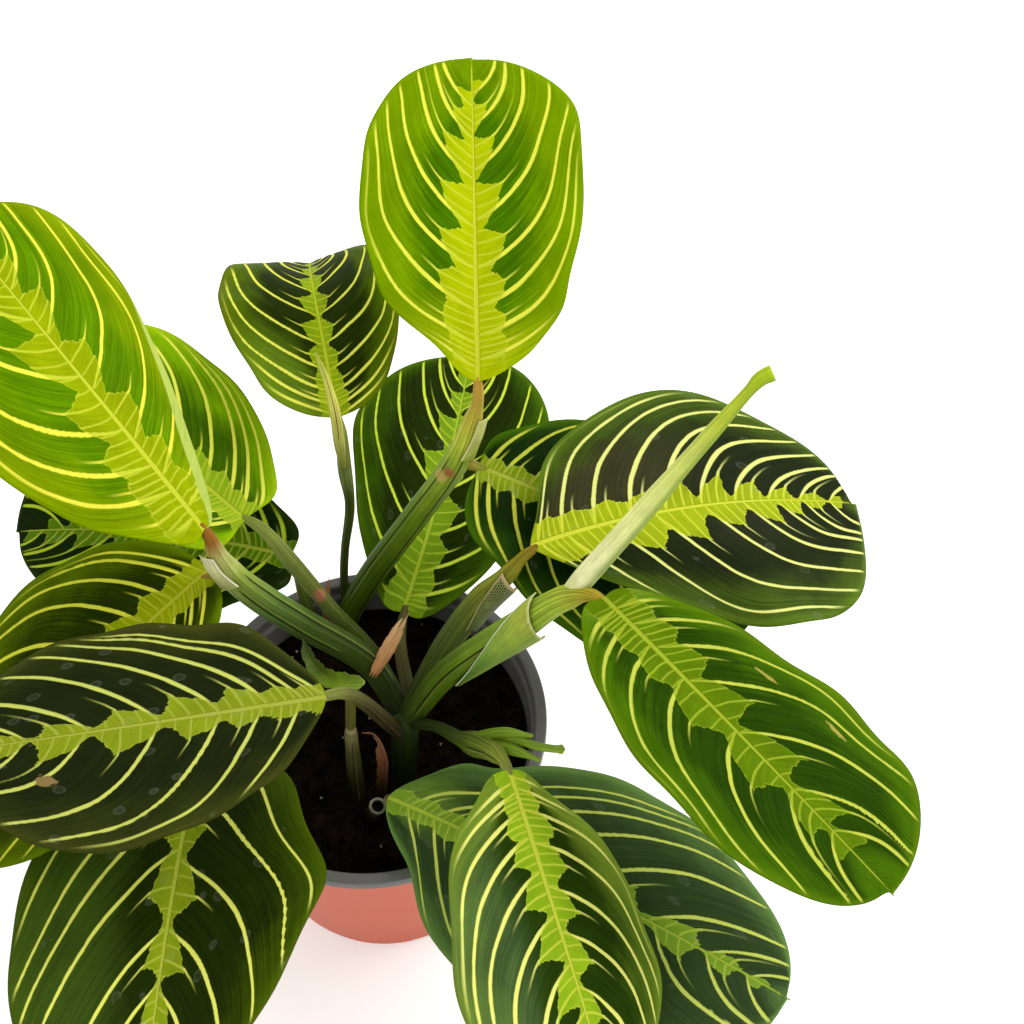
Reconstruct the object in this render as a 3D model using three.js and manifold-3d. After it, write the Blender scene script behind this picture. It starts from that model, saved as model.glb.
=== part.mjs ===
import * as THREE from 'three';
import { mergeVertices } from 'three/addons/utils/BufferGeometryUtils.js';
import Module from 'manifold-3d';

// Potted prayer plant in a 12 cm nursery pot. Millimetres, +Z up, origin at the centre of the pot's base.

const seatGap = 0.3;      // clearance between pieces that touch
const bladeThick = 0.8;   // leaf blade
const sheathThick = 0.8;  // sheath strips and dry husks
const bladeEnd = 0.985;   // share of a blade's length at which its short point is blunted
const swellAt = [0.08, 0.2, 0.4, 0.62, 0.84];     // places along a blade where its halves swell or shrink
const swellReach = [0.07, 0.1, 0.15, 0.15, 0.12];  // and how far along the blade each of them reaches

const pot = {
  rimRadius: 60, rimInner: 55.9, height: 93, lipDepth: 4.2, topRadius: 56.6, baseRadius: 45.7,
  wall: 1.2, floorTop: 2.8, footHeight: 1.5, footInner: 39, padRadius: 13,
  notches: 8, notchWidth: 14, drains: 8, drainRadius: 3.5, drainCircle: 27, segments: 48,
};
const soil = { level: 79, lump: 0.9, rings: 6, segments: 36 };

// One row per blade: base is where blade meets stalk; heading is its angle in plan (0 is +X, 90 is +Y);
// rise is the slope of the midrib at base and tip; roll tips the blade about its midrib, twist adds to it
// towards the tip; fold lifts both halves and curl bends them back; bend turns the heading along the blade;
// lobe draws the basal lobes back; widest is the place of greatest width; skew and uneven make the halves
// differ; swell widens the left and the right half at each of swellAt; wave is the height, count and
// phase of the edge waves.
const leaves = {
  leaf_back_tall: {
    base: [37.2, 66.1, 192], heading: 91.2, rise: [42, 19], roll: 3.3, twist: 2, fold: 10, curl: -7,
    bend: 0.4, length: 108.3, width: 72, lobe: 0.01, widest: 0.6, skew: -0.04, uneven: -0.05,
    wave: [1.3, 3, 0.4], swell: [[-0.19, 0.18, 0.05, -0.08, -0.07], [0.21, 0.2, 0.04, 0.01, 0.14]],
    color: 0x8db526,
  },
  leaf_left_bright: {
    base: [-43.7, 13.1, 186], heading: 137.9, rise: [37, 19], roll: -7.2, twist: 2, fold: 3, curl: -15,
    bend: -4.4, length: 123.3, width: 74, lobe: 0.04, widest: 0.64, skew: 0.08, uneven: -0.1,
    wave: [1.3, 2.9, 3.7], swell: [[0.04, 0.15, 0.04, -0.04, 0], [0.03, -0.02, -0.01, -0.08, -0.03]],
    color: 0x86b01f,
  },
  leaf_back_left: {
    base: [-9, 68, 172], heading: 103, rise: [18, -41], roll: 0, twist: 3, fold: 16, curl: -5, bend: -3,
    length: 98, width: 61, lobe: 0.01, widest: 0.5, skew: -0.04, uneven: -0.1, wave: [1.2, 3, 4.0],
    swell: [[0.12, -0.01, -0.01, -0.01, 0.03], [0.1, 0.05, 0.04, 0.01, 0.15]],
    color: 0x35571f,
  },
  leaf_back_low: {
    base: [9, 42, 94], heading: 71.4, rise: [20, 0], roll: -1, twist: 5, fold: 6, curl: -2, bend: 13,
    length: 112.5, width: 75, lobe: 0.04, widest: 0.6, skew: -0.03, uneven: 0.01, wave: [1.2, 3, 1.2],
    swell: [[-0.01, 0.03, -0.02, 0.03, 0], [0.01, 0.03, -0.02, -0.02, -0.01]],
    color: 0x2f5420,
  },
  leaf_right_under: {
    base: [37, 57, 160], heading: -18, rise: [-10, -34], roll: -9, twist: -5, fold: 4, curl: -12, bend: -8,
    length: 109, width: 75, lobe: 0.03, widest: 0.49, skew: -0.02, uneven: 0.02, wave: [1.1, 3, 5.0],
    swell: [[-0.11, 0.03, 0.01, 0, 0], [0.09, -0.04, 0, 0.04, -0.02]],
    color: 0x3b6a22,
  },
  leaf_right_dark: {
    base: [54, 25, 160], heading: 16, rise: [11, -22], roll: -19, twist: 14, fold: 5, curl: -8, bend: -7,
    length: 114, width: 83, lobe: -0.03, widest: 0.58, skew: 0.17, uneven: 0.02, wave: [1.5, 3, 4.3],
    swell: [[0.05, -0.01, -0.07, 0.08, -0.08], [0.03, 0, 0.1, 0.01, 0.02]],
    color: 0x28401f,
  },
  leaf_right_front: {
    base: [75, -6, 178], heading: -49.5, rise: [-3, -12], roll: 7, twist: 1, fold: 7, curl: -11, bend: 2,
    length: 117, width: 67, lobe: 0.04, widest: 0.59, skew: -0.08, uneven: -0.03, wave: [1.2, 3.5, 1.5],
    swell: [[0.06, 0.08, 0, -0.03, 0.03], [0, 0.03, -0.04, -0.06, -0.03]],
    color: 0x3f7420,
  },
  leaf_front_small: {
    base: [47, -43, 140], heading: -73, rise: [-4, -32], roll: 17, twist: 0, fold: 5, curl: -16, bend: 3,
    length: 101, width: 62, lobe: 0.02, widest: 0.58, skew: -0.03, uneven: 0.1, wave: [1.5, 2.7, 0.3],
    swell: [[-0.14, 0.13, 0.03, 0, -0.02], [-0.15, 0.03, -0.02, 0.03, 0.09]],
    color: 0x527f33,
  },
  leaf_front_large: {
    base: [8, -35, 104], heading: -26, rise: [5, -11], roll: -4, twist: 3, fold: 3, curl: -10, bend: -2,
    length: 142, width: 82, lobe: -0.03, widest: 0.52, skew: 0.02, uneven: 0.08, wave: [1.3, 4.2, 6],
    swell: [[0.09, -0.17, 0, 0.03, -0.03], [-0.2, -0.01, 0.02, 0, 0.03]],
    color: 0x2c5227,
  },
  leaf_front_left: {
    base: [-54, -34, 110], heading: -91, rise: [12, -4], roll: 1, twist: -17, fold: 11, curl: -2, bend: 3,
    length: 116, width: 90, lobe: 0.09, widest: 0.4, skew: 0.04, uneven: 0.01, wave: [1.4, 3.1, 2.7],
    swell: [[0, -0.06, 0.11, -0.03, -0.1], [0, 0, 0, -0.02, 0.02]],
    color: 0x37601f,
  },
  leaf_left_dark: {
    base: [-5, -37, 174], heading: 186, rise: [-7, -4], roll: 2, twist: 4, fold: 6, curl: -13, bend: 1,
    length: 111, width: 69, lobe: -0.02, widest: 0.52, skew: -0.01, uneven: -0.02, wave: [1.2, 4, 2.2],
    swell: [[0.12, 0, 0.02, 0.04, -0.03], [-0.05, 0.05, -0.04, -0.02, 0.01]],
    color: 0x2d4524,
  },
  leaf_left_mid: {
    base: [-47, 16, 160], heading: 225, rise: [-8, -26], roll: 2, twist: 0, fold: 9, curl: -8, bend: -1,
    length: 117, width: 73, lobe: 0.01, widest: 0.5, skew: -0.09, uneven: 0.01, wave: [1.1, 3, 5.5],
    swell: [[-0.03, 0, 0, -0.01, -0.06], [0, 0.04, 0.03, 0.01, 0]],
    color: 0x3f6221,
  },
  leaf_left_upper: {
    base: [-40, 44, 148], heading: 145, rise: [23, 5], roll: 2, twist: -2, fold: 8, curl: -9, bend: 1,
    length: 106, width: 69, lobe: 0.05, widest: 0.48, skew: -0.04, uneven: 0.02, wave: [1.2, 3, 1.4],
    swell: [[0, 0, 0, 0, 0], [-0.09, 0, 0.01, 0.05, 0.01]],
    color: 0x4d8423,
  },
  leaf_left_low: {
    base: [-30, 54, 112], heading: 169, rise: [8, -16], roll: 13, twist: 5, fold: 10, curl: -6, bend: 5,
    length: 106, width: 65, lobe: 0.05, widest: 0.52, skew: 0.1, uneven: 0.04, wave: [1.1, 3, 3.0],
    swell: [[-0.06, -0.1, 0.1, 0, 0.1], [-0.1, 0.05, 0, 0, 0.05]],
    color: 0x2f5420,
  },
};

// Stalks as round runs: [x, y, z, radius]. A stalk that carries a blade stops a seat gap short of the
// blade's base. clear lists earlier stalks it grows from or leans on, which are cut out of it with that gap.
const stalks = {
  stem_crown: {
    run: [[11, -14, 66, 4.4], [11, -13.6, 82, 4.3], [12, -10.5, 97, 4.6], [12.6, -7.6, 111, 5.2]],
    color: 0x2f4a1b,
  },
  stem_back: {
    run: [[-14.6, 45, 66, 4.2], [-12, 46.4, 84, 4.5], [-1, 50.7, 107, 4.7], [14.8, 55.2, 134, 4.6],
      [29.6, 58.4, 161, 4.4], [34.8, 61.4, 176, 3.3], [37.2, 63.8, 186, 1.9]],
    leaf: 'leaf_back_tall', color: 0x557b2b,
  },
  stem_left: {
    run: [[11, -6, 107, 3.8], [1.6, 5.2, 119, 4.5], [-20, 9.2, 140, 4.8], [-31, 10.6, 152, 4.8],
      [-38.4, 11.6, 163, 4.4], [-42, 12.6, 175, 2.9], [-42.8, 13, 182, 1.9]],
    clear: ['stem_crown'], leaf: 'leaf_left_bright', color: 0x5d7d33,
  },
  petiole_left_upper: {
    run: [[11, -3, 106, 2.2], [1.6, 13.2, 113, 2.4], [-12.4, 24, 124, 2.6], [-25.9, 35.2, 137, 2.8],
      [-34.4, 42, 145, 2.1]],
    clear: ['stem_crown', 'stem_left'], leaf: 'leaf_left_upper', color: 0x5f8a33,
  },
  petiole_back_low: {
    run: [[12.4, -4, 99, 2.4], [13, 3, 100.5, 2.5], [9.4, 22, 96.6, 2.3], [8.4, 35, 94, 1.9]],
    clear: ['stem_crown', 'stem_left', 'petiole_left_upper'], leaf: 'leaf_back_low', color: 0x6d7440,
  },
  stem_right_back: {
    run: [[13.4, -6.6, 108, 3.9], [27.6, 8.4, 130, 4.4], [37.7, 15.6, 143, 4.3], [46.6, 19, 153, 3.0],
      [51.4, 22.4, 157.6, 1.9]],
    clear: ['stem_crown', 'stem_left', 'petiole_left_upper', 'petiole_back_low'], leaf: 'leaf_right_dark',
    color: 0x5b7a30,
  },
  stem_right: {
    run: [[13.6, -8, 107, 3.9], [28, -2.8, 130, 4.4], [50.2, 0.4, 152, 4.9], [64, 0.4, 168, 4.0],
      [71.4, -3.4, 175.4, 2.1]],
    clear: ['stem_crown', 'stem_right_back', 'stem_left'], leaf: 'leaf_right_front', color: 0x6c9434,
  },
  stem_front: {
    run: [[13.4, -9.4, 107, 2.1], [23.6, -15.4, 115.4, 1.9], [30.4, -22.6, 122, 2.3],
      [36.6, -28.4, 128.4, 4.0], [42.6, -34.4, 134.6, 3.1], [45.8, -40, 138.4, 1.8]],
    clear: ['stem_crown', 'stem_right', 'stem_right_back'], leaf: 'leaf_front_small', color: 0x6f9440,
  },
  petiole_left: {
    run: [[11.6, -11, 101, 2.4], [6.9, -14.3, 118, 2.6], [2.8, -20.5, 140, 2.3], [-0.5, -28.2, 160, 2.0],
      [-3.4, -33.8, 170, 1.7]],
    clear: ['stem_crown', 'stem_left', 'stem_front'], leaf: 'leaf_left_dark', color: 0x66703a,
  },
  stalk_old: {
    run: [[-4.4, -22.2, 66, 2.6], [-4.4, -22.2, 84, 2.9], [-4, -22.4, 100, 2.6], [-2.8, -23.6, 126, 2.1],
      [-2.4, -24.2, 132, 1.6], [-0.2, -26.2, 156, 1.6]],
    clear: ['petiole_left', 'stem_crown'], color: 0x6a7038,
  },
  petiole_left_mid: {
    run: [[-37.6, 11.8, 158.6, 2.0], [-43.4, 13.6, 159.4, 1.9]],
    clear: ['stem_left'], leaf: 'leaf_left_mid', color: 0x9aa04a,
  },
  petiole_right_under: {
    run: [[28.8, 58.2, 159.6, 1.9], [34, 57.6, 160.2, 1.8]],
    clear: ['stem_back'], leaf: 'leaf_right_under', color: 0x8a7a3a,
  },
  petiole_back_left: {
    run: [[-12.4, 47, 86, 1.5], [-12.6, 53, 98, 1.5], [-11, 56, 114, 1.5], [-7.7, 59.6, 135, 1.7],
      [-8.3, 63.2, 150, 2.4], [-8.2, 65.6, 166, 2.0]],
    clear: ['stem_back'], leaf: 'leaf_back_left', color: 0x6f8f3c,
  },
  spike_back_left: {
    run: [[-8.3, 60.2, 155, 1.2], [-8.6, 62.2, 168, 1.9], [-9.3, 66, 178, 1.8], [-12, 73.5, 185.5, 1.2],
      [-15.6, 81, 189.5, 0.4]],
    clear: ['petiole_back_left'], color: 0xc2c56a,
  },
  petiole_left_low: {
    run: [[-21, 37, 66, 2.0], [-22, 38.6, 80, 2.0], [-26.6, 46, 98, 1.9], [-29, 51.6, 109, 1.7]],
    leaf: 'leaf_left_low', color: 0x5f7a33,
  },
  petiole_front_left: {
    run: [[-37.6, -15.6, 66, 2.3], [-38.2, -16.8, 80, 2.3], [-45.4, -29, 100, 2.1],
      [-50.6, -34.2, 107.6, 1.8]],
    leaf: 'leaf_front_left', color: 0x5f7a33,
  },
  petiole_front: {
    run: [[8.6, -28.6, 66, 2.0], [8.4, -29.4, 82, 2.0], [7.8, -33, 98, 1.8]],
    leaf: 'leaf_front_large', color: 0x7a7b46,
  },
  stub_cut: {
    run: [[0.6, -28.4, 67, 3.2], [1.2, -28.6, 78, 3.3], [3, -29.2, 85.5, 2.9]],
    clear: ['petiole_front', 'stalk_old'], color: 0x8d8a6a,
  },
};

const furledLeaf = {
  run: [[64, 0.6, 166, 3.0], [70, 2.6, 176, 3.6], [85, 8.0, 200, 3.3], [101, 14, 226, 2.4],
    [112, 18, 243.5, 1.7], [114.6, 19, 247, 2.2], [117.6, 19.6, 248.6, 2.4]],
  seam: 0.75, color: 0xa9c75a,
};
const flowerBud = {
  stalk: [[37, -26.6, 130, 1.6], [46, -29, 134.4, 1.5], [56, -33.6, 137, 1.3], [61.6, -35, 138, 1.2],
    [64.2, -35.2, 138.2, 1.9]],
  spikes: [
    [[36.6, -27.4, 130, 2.2], [45, -28, 135, 1.9], [54.6, -30.6, 138, 0.7]],
    [[38, -29, 130, 2.2], [47, -32.8, 134, 1.9], [56.8, -37.6, 135.6, 0.7]],
  ],
  color: 0x8fb340,
};

// Sheath strips wrap part of a stalk: run is the stalk's centre line with the strip's inner radius, from
// and to are the wrap angles at both ends of the run, flare opens the strip's edge outwards and slant cuts
// the upper end back towards that edge.
const sheaths = {
  sheath_right: {
    run: [[28, -2.8, 130, 5.2], [37, -1.3, 139, 5.5], [50.2, 0.4, 152, 5.7], [59, 0.6, 162, 5.6]],
    from: [105, -45], to: [125, 150], flare: [0.2, 1.4], slant: 0.2, color: 0x9fc25a,
  },
  sheath_right_back: {
    run: [[32.5, 12.2, 136.5, 4.9], [37.7, 15.6, 143, 4.9], [43.4, 17.9, 149.4, 4.6],
      [47.2, 19.4, 153.6, 4.0]],
    from: [60, 10], to: [130, 150], flare: [0.1, 1.2], slant: 0.15, color: 0x8d9a62,
  },
  sheath_left_mouth: {
    run: [[-38.2, 11.6, 163, 4.9], [-40.6, 12.1, 169, 4.4], [-42, 12.7, 176, 3.7]],
    from: [-50, -80], to: [-160, -150], flare: [0.1, 0.9], slant: 0, color: 0xb9c79a,
  },
  sheath_back_mouth: {
    run: [[31, 59, 165.5, 4.7], [33.4, 60.5, 171.6, 4.2], [36, 62.4, 180.4, 3.5]],
    from: [60, 80], to: [170, 150], flare: [0.1, 0.8], slant: 0, color: 0xa6bf62,
  },
};

// Free husks and torn sheath scraps: flat tapering ribbons with a cupped section; halfWidth per point.
const husks = {
  sheath_torn: {
    run: [[-17.2, -2.6, 150, 0.6], [-15, -8.4, 146.5, 2.2], [-10.6, -13.6, 145.5, 3.0],
      [-4, -17, 147.5, 3.2], [3, -18.6, 150, 2.4]],
    face: [0.2, -0.5, 0.85], cup: 0.5, color: 0x8fa03c,
  },
  husk_crown: {
    run: [[2.6, -2.4, 124.9, 1.6], [6.4, 8, 122.5, 2.5], [10, 20, 117.3, 2.2], [12.6, 30, 112.5, 0.5]],
    face: [0, -0.4, 0.9], cup: 0.5, color: 0xb0793f,
  },
  husk_back: {
    run: [[-19.6, 44.4, 79.1, 1.8], [-19.8, 46.4, 86, 1.7], [-19.4, 49.4, 94, 1.1], [-18.8, 53, 101, 0.35]],
    face: [-0.2, -0.7, 0.7], cup: 0.4, color: 0xa8714a,
  },
  husk_front: {
    run: [[-1.4, -12.6, 106, 0.5], [2.6, -14.2, 107, 1.5], [5.2, -18.4, 100, 2.0], [4.6, -21.2, 90, 1.9],
      [4.4, -22.4, 79.5, 1.4]],
    face: [-0.3, -0.9, 0.3], cup: 0.5, color: 0x8c5a36,
  },
};

const deg = Math.PI / 180;
const V = (a) => new THREE.Vector3(a[0], a[1], a[2]);

const wasm = await Module();
wasm.setup();

function seeded(seed) {
  let state = seed >>> 0;
  return () => {
    state = (state + 0x6d2b79f5) >>> 0;
    let t = state;
    t = Math.imul(t ^ (t >>> 15), t | 1);
    t ^= t + Math.imul(t ^ (t >>> 7), t | 61);
    return ((t ^ (t >>> 14)) >>> 0) / 4294967296;
  };
}

function smooth(a, b, x) {
  const t = Math.min(Math.max((x - a) / (b - a), 0), 1);
  return t * t * (3 - 2 * t);
}

// Closed mesh from points and triangles, turned to face out.
function closedMesh(points, triangles) {
  let volume = 0;
  for (const [a, b, c] of triangles) {
    volume += points[a].dot(new THREE.Vector3().crossVectors(points[b], points[c]));
  }
  const flip = volume < 0;
  const geometry = new THREE.BufferGeometry();
  const places = points.flatMap((p) => [p.x, p.y, p.z]);
  geometry.setAttribute('position', new THREE.Float32BufferAttribute(places, 3));
  geometry.setIndex(triangles.flatMap(([a, b, c]) => (flip ? [a, c, b] : [a, b, c])));
  return geometry;
}

function toSolid(geometry) {
  const bare = new THREE.BufferGeometry();
  bare.setAttribute('position', geometry.getAttribute('position').clone());
  bare.setIndex(geometry.index ? geometry.index.clone()
    : [...Array(geometry.getAttribute('position').count).keys()]);
  const merged = mergeVertices(bare, 1e-4);
  const index = merged.index.array;
  const kept = [];
  for (let i = 0; i < index.length; i += 3) {
    const [a, b, c] = [index[i], index[i + 1], index[i + 2]];
    if (a !== b && b !== c && c !== a) kept.push(a, b, c);
  }
  const mesh = new wasm.Mesh({
    numProp: 3,
    vertProperties: new Float32Array(merged.getAttribute('position').array),
    triVerts: new Uint32Array(kept),
  });
  mesh.merge();
  const solid = new wasm.Manifold(mesh);
  return solid;
}

function fromSolid(solid) {
  const mesh = solid.getMesh();
  const geometry = new THREE.BufferGeometry();
  const stride = mesh.numProp;
  const count = mesh.vertProperties.length / stride;
  const position = new Float32Array(count * 3);
  for (let i = 0; i < count; i++) {
    for (let k = 0; k < 3; k++) position[i * 3 + k] = mesh.vertProperties[i * stride + k];
  }
  geometry.setAttribute('position', new THREE.BufferAttribute(position, 3));
  geometry.setIndex(new THREE.BufferAttribute(new Uint32Array(mesh.triVerts), 1));
  return geometry;
}

// Centre line through the run's points, with radius carried along.
function centreLine(run, steps) {
  const curve = new THREE.CatmullRomCurve3(run.map(V), false, 'centripetal');
  const radii = run.map((p) => p[3]);
  const last = run.length - 1;
  const lengths = curve.getLengths(40 * last);
  const total = lengths[lengths.length - 1];
  const at = run.map((p, i) => lengths[40 * i] / total);
  const line = [];
  for (let i = 0; i <= steps; i++) {
    const u = i / steps;
    let k = 0;
    while (k < last - 1 && u > at[k + 1]) k++;
    const f = smooth(0, 1, (u - at[k]) / (at[k + 1] - at[k]));
    line.push({
      point: curve.getPointAt(u), tangent: curve.getTangentAt(u).normalize(),
      radius: radii[k] + (radii[k + 1] - radii[k]) * f,
    });
  }
  return line;
}

// Frames carried along the line without turning about it.
function carriedFrames(line) {
  const start = line[0].tangent;
  const first = Math.abs(start.z) > 0.95 ? new THREE.Vector3(1, 0, 0) : new THREE.Vector3(0, 0, 1);
  let across = first.addScaledVector(start, -first.dot(start)).normalize();
  return line.map(({ tangent }) => {
    across = across.clone().addScaledVector(tangent, -across.dot(tangent)).normalize();
    return [across, new THREE.Vector3().crossVectors(tangent, across)];
  });
}

function roundRun(run, steps, sides, grow = 0, section = () => 1) {
  const line = centreLine(run, steps);
  const frames = carriedFrames(line);
  const points = [];
  const triangles = [];
  line.forEach(({ point, radius }, i) => {
    const [n, b] = frames[i];
    for (let j = 0; j < sides; j++) {
      const a = (2 * Math.PI * j) / sides;
      const r = radius * section(j / sides, i / steps) + grow;
      points.push(point.clone().addScaledVector(n, r * Math.cos(a)).addScaledVector(b, r * Math.sin(a)));
    }
  });
  for (let i = 0; i < steps; i++) {
    for (let j = 0; j < sides; j++) {
      const k = (j + 1) % sides;
      const [a, b, c, d] = [i * sides + j, i * sides + k, (i + 1) * sides + k, (i + 1) * sides + j];
      triangles.push([a, b, c], [a, c, d]);
    }
  }
  const ends = [line[0].point.clone().addScaledVector(line[0].tangent, -grow),
    line[steps].point.clone().addScaledVector(line[steps].tangent, grow)];
  ends.forEach((end, e) => {
    const centre = points.push(end) - 1;
    const from = e === 0 ? 0 : steps * sides;
    for (let j = 0; j < sides; j++) {
      const [a, b] = [from + j, from + ((j + 1) % sides)];
      triangles.push(e === 0 ? [centre, b, a] : [centre, a, b]);
    }
  });
  return closedMesh(points, triangles);
}

// Half width along a blade: a leaning ellipse with a short point at the tip.
function halfWidth(s, widest) {
  const end = 0.975;
  const q = Math.min(Math.max(s / end, 1e-9), 1) ** (Math.log(0.5) / Math.log(widest / end));
  const body = 2 * Math.sqrt(Math.max(q * (1 - q), 0));
  const point = 0.22 * (1 - s) * smooth(0.7, 0.97, s);
  return Math.hypot(body, point);
}

// Surface of a blade's middle layer: s runs from base to tip, t from -1 (left) to 1 (right).
function bladeSurface(leaf) {
  const steps = 240;
  const low = -0.2;
  const span = 1 - low;
  const rib = [];
  const axes = (q) => {
    const h = (leaf.heading + leaf.bend * q) * deg;
    const r = (leaf.rise[0] + (leaf.rise[1] - leaf.rise[0]) * Math.min(Math.max(q, 0), 1)) * deg;
    const along = new THREE.Vector3(Math.cos(r) * Math.cos(h), Math.cos(r) * Math.sin(h), Math.sin(r));
    const side = new THREE.Vector3(Math.sin(h), -Math.cos(h), 0);
    return { along, side, up: new THREE.Vector3().crossVectors(side, along) };
  };
  let p = new THREE.Vector3();
  for (let i = 0; i <= steps; i++) {
    rib.push(p.clone());
    p = p.addScaledVector(axes(low + (span * (i + 0.5)) / steps).along, (leaf.length * span) / steps);
  }
  const ribAt = (q) => {
    const f = Math.min(Math.max(((q - low) / span) * steps, 0), steps - 1e-6);
    const i = Math.floor(f);
    return rib[i].clone().lerp(rib[i + 1], f - i);
  };
  const shift = V(leaf.base).sub(ribAt(0));
  return (s, t) => {
    const bump = (s / 0.06) * Math.exp(1 - s / 0.06);
    const q = s - leaf.lobe * t * t * bump + leaf.skew * t * Math.sin(Math.PI * s);
    const { side, up } = axes(q);
    const roll = (leaf.roll + leaf.twist * q) * deg;
    const a1 = side.clone().multiplyScalar(Math.cos(roll)).addScaledVector(up, Math.sin(roll));
    const u1 = up.clone().multiplyScalar(Math.cos(roll)).addScaledVector(side, -Math.sin(roll));
    const half = leaf.swell[t < 0 ? 0 : 1];
    const bulge = (part, i) => part * Math.exp(-(((s - swellAt[i]) / swellReach[i]) ** 2));
    const swell = half.reduce((sum, part, i) => sum + bulge(part, i), 1);
    const w = (leaf.width / 2) * halfWidth(s, leaf.widest) * (1 + leaf.uneven * t) * swell;
    const k = leaf.curl * deg;
    const f = leaf.fold * deg;
    const m = Math.abs(t);
    const out = (w / k) * (Math.sin(f + k * m) - Math.sin(f)) * Math.sign(t);
    const [height, count, phase] = leaf.wave;
    const ripple = Math.sin(2 * Math.PI * count * s + phase + (t > 0 ? 0 : 2));
    const wave = height * m ** 3 * Math.sin(Math.PI * s) * ripple;
    const rise = (-w / k) * (Math.cos(f + k * m) - Math.cos(f)) + wave;
    return ribAt(q).add(shift).addScaledVector(a1, out).addScaledVector(u1, rise);
  };
}

// grow makes a larger copy of the blade, for cutting its seat.
function bladeMesh(leaf, grow = 0, rows = 12) {
  const surface = bladeSurface({ ...leaf, width: leaf.width + 3 * grow });
  const cols = [-1, -0.7, -0.38, -0.06, 0, 0.06, 0.38, 0.7, 1];
  const mid = cols.indexOf(0);
  const e = 2e-3;
  const normalAt = (s, t) => {
    const s0 = Math.min(Math.max(s, 0.02), 0.96);
    const ds = surface(s0 + e, t).sub(surface(s0 - e, t));
    const dt = surface(s0, Math.min(t + 0.04, 1)).sub(surface(s0, Math.max(t - 0.04, -1)));
    return dt.cross(ds).normalize();
  };
  const points = [];
  const grid = [[], []];
  for (let i = 0; i <= rows; i++) {
    const s = bladeEnd * (0.5 - 0.5 * Math.cos((Math.PI * i) / rows));
    const single = i === 0 || i === rows;
    const row = single ? [0] : cols;
    const places = [[], []];
    row.forEach((t) => {
      const at = surface(s, t);
      if (single) at.addScaledVector(surface(0.02, 0).sub(surface(0, 0)).normalize(), i === 0 ? -grow : 0);
      const n = normalAt(s, t);
      const ridge = t === 0 ? 1.2 * (1 - 0.8 * s) : 0;
      places[0].push(points.push(at.clone().addScaledVector(n, bladeThick / 2 + grow)) - 1);
      places[1].push(points.push(at.clone().addScaledVector(n, -bladeThick / 2 - ridge - grow)) - 1);
    });
    grid[0].push(places[0]);
    grid[1].push(places[1]);
  }
  const triangles = [];
  const last = cols.length - 1;
  grid.forEach((face, f) => {
    const add = (a, b, c) => triangles.push(f === 0 ? [a, b, c] : [a, c, b]);
    for (let i = 0; i < rows; i++) {
      const [lower, upper] = [face[i], face[i + 1]];
      for (let j = 0; j < last; j++) {
        if (lower.length === 1) {
          add(lower[0], upper[j], upper[j + 1]);
        } else if (upper.length === 1) {
          add(lower[j], upper[0], lower[j + 1]);
        } else if (j < mid) {
          add(lower[j], upper[j], upper[j + 1]);
          add(lower[j], upper[j + 1], lower[j + 1]);
        } else {
          add(lower[j], upper[j], lower[j + 1]);
          add(lower[j + 1], upper[j], upper[j + 1]);
        }
      }
    }
  });
  const edge = (i, side) => grid.map((face) => face[i][face[i].length === 1 ? 0 : side === 0 ? 0 : last]);
  for (let i = 0; i < rows; i++) {
    for (const side of [0, 1]) {
      const [a, b] = edge(i, side);
      const [c, d] = edge(i + 1, side);
      if (side === 0) triangles.push([a, b, d], [a, d, c]);
      else triangles.push([a, d, b], [a, c, d]);
    }
  }
  return closedMesh(points, triangles);
}

// A strip of even thickness over a grid of inner points and their outward directions.
function stripMesh(inner, outward, thick) {
  const rows = inner.length - 1;
  const cols = inner[0].length - 1;
  const points = [];
  const id = [[], []];
  for (let i = 0; i <= rows; i++) {
    id[0].push([]);
    id[1].push([]);
    for (let j = 0; j <= cols; j++) {
      id[0][i].push(points.push(inner[i][j].clone()) - 1);
      id[1][i].push(points.push(inner[i][j].clone().addScaledVector(outward[i][j], thick)) - 1);
    }
  }
  const triangles = [];
  for (let i = 0; i < rows; i++) {
    for (let j = 0; j < cols; j++) {
      for (const f of [0, 1]) {
        const [a, b, c, d] = [id[f][i][j], id[f][i][j + 1], id[f][i + 1][j + 1], id[f][i + 1][j]];
        if (f === 0) triangles.push([a, b, c], [a, c, d]);
        else triangles.push([a, c, b], [a, d, c]);
      }
    }
  }
  const wall = (p, q) => {
    triangles.push([id[0][p[0]][p[1]], id[1][p[0]][p[1]], id[1][q[0]][q[1]]]);
    triangles.push([id[0][p[0]][p[1]], id[1][q[0]][q[1]], id[0][q[0]][q[1]]]);
  };
  for (let i = 0; i < rows; i++) { wall([i + 1, 0], [i, 0]); wall([i, cols], [i + 1, cols]); }
  for (let j = 0; j < cols; j++) { wall([0, j], [0, j + 1]); wall([rows, j + 1], [rows, j]); }
  return closedMesh(points, triangles);
}

function sheathMesh(sheath) {
  const steps = 9;
  const across = 6;
  const fine = 20;
  const line = centreLine(sheath.run, steps * fine);
  const frames = carriedFrames(line);
  const inner = [];
  const outward = [];
  for (let i = 0; i <= steps; i++) {
    const u = i / steps;
    const from = sheath.from[0] + (sheath.from[1] - sheath.from[0]) * u;
    const to = sheath.to[0] + (sheath.to[1] - sheath.to[0]) * u;
    inner.push([]);
    outward.push([]);
    for (let j = 0; j <= across; j++) {
      const v = j / across;
      const at = Math.round(u * (1 - sheath.slant * v) * steps * fine);
      const a = (from + (to - from) * v) * deg;
      const [n, b] = frames[at];
      const dir = n.clone().multiplyScalar(Math.cos(a)).addScaledVector(b, Math.sin(a));
      const flare = (sheath.flare[0] + (sheath.flare[1] - sheath.flare[0]) * u) * smooth(0.5, 1, v);
      inner[i].push(line[at].point.clone().addScaledVector(dir, line[at].radius + flare));
      outward[i].push(dir);
    }
  }
  return stripMesh(inner, outward, sheathThick);
}

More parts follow.
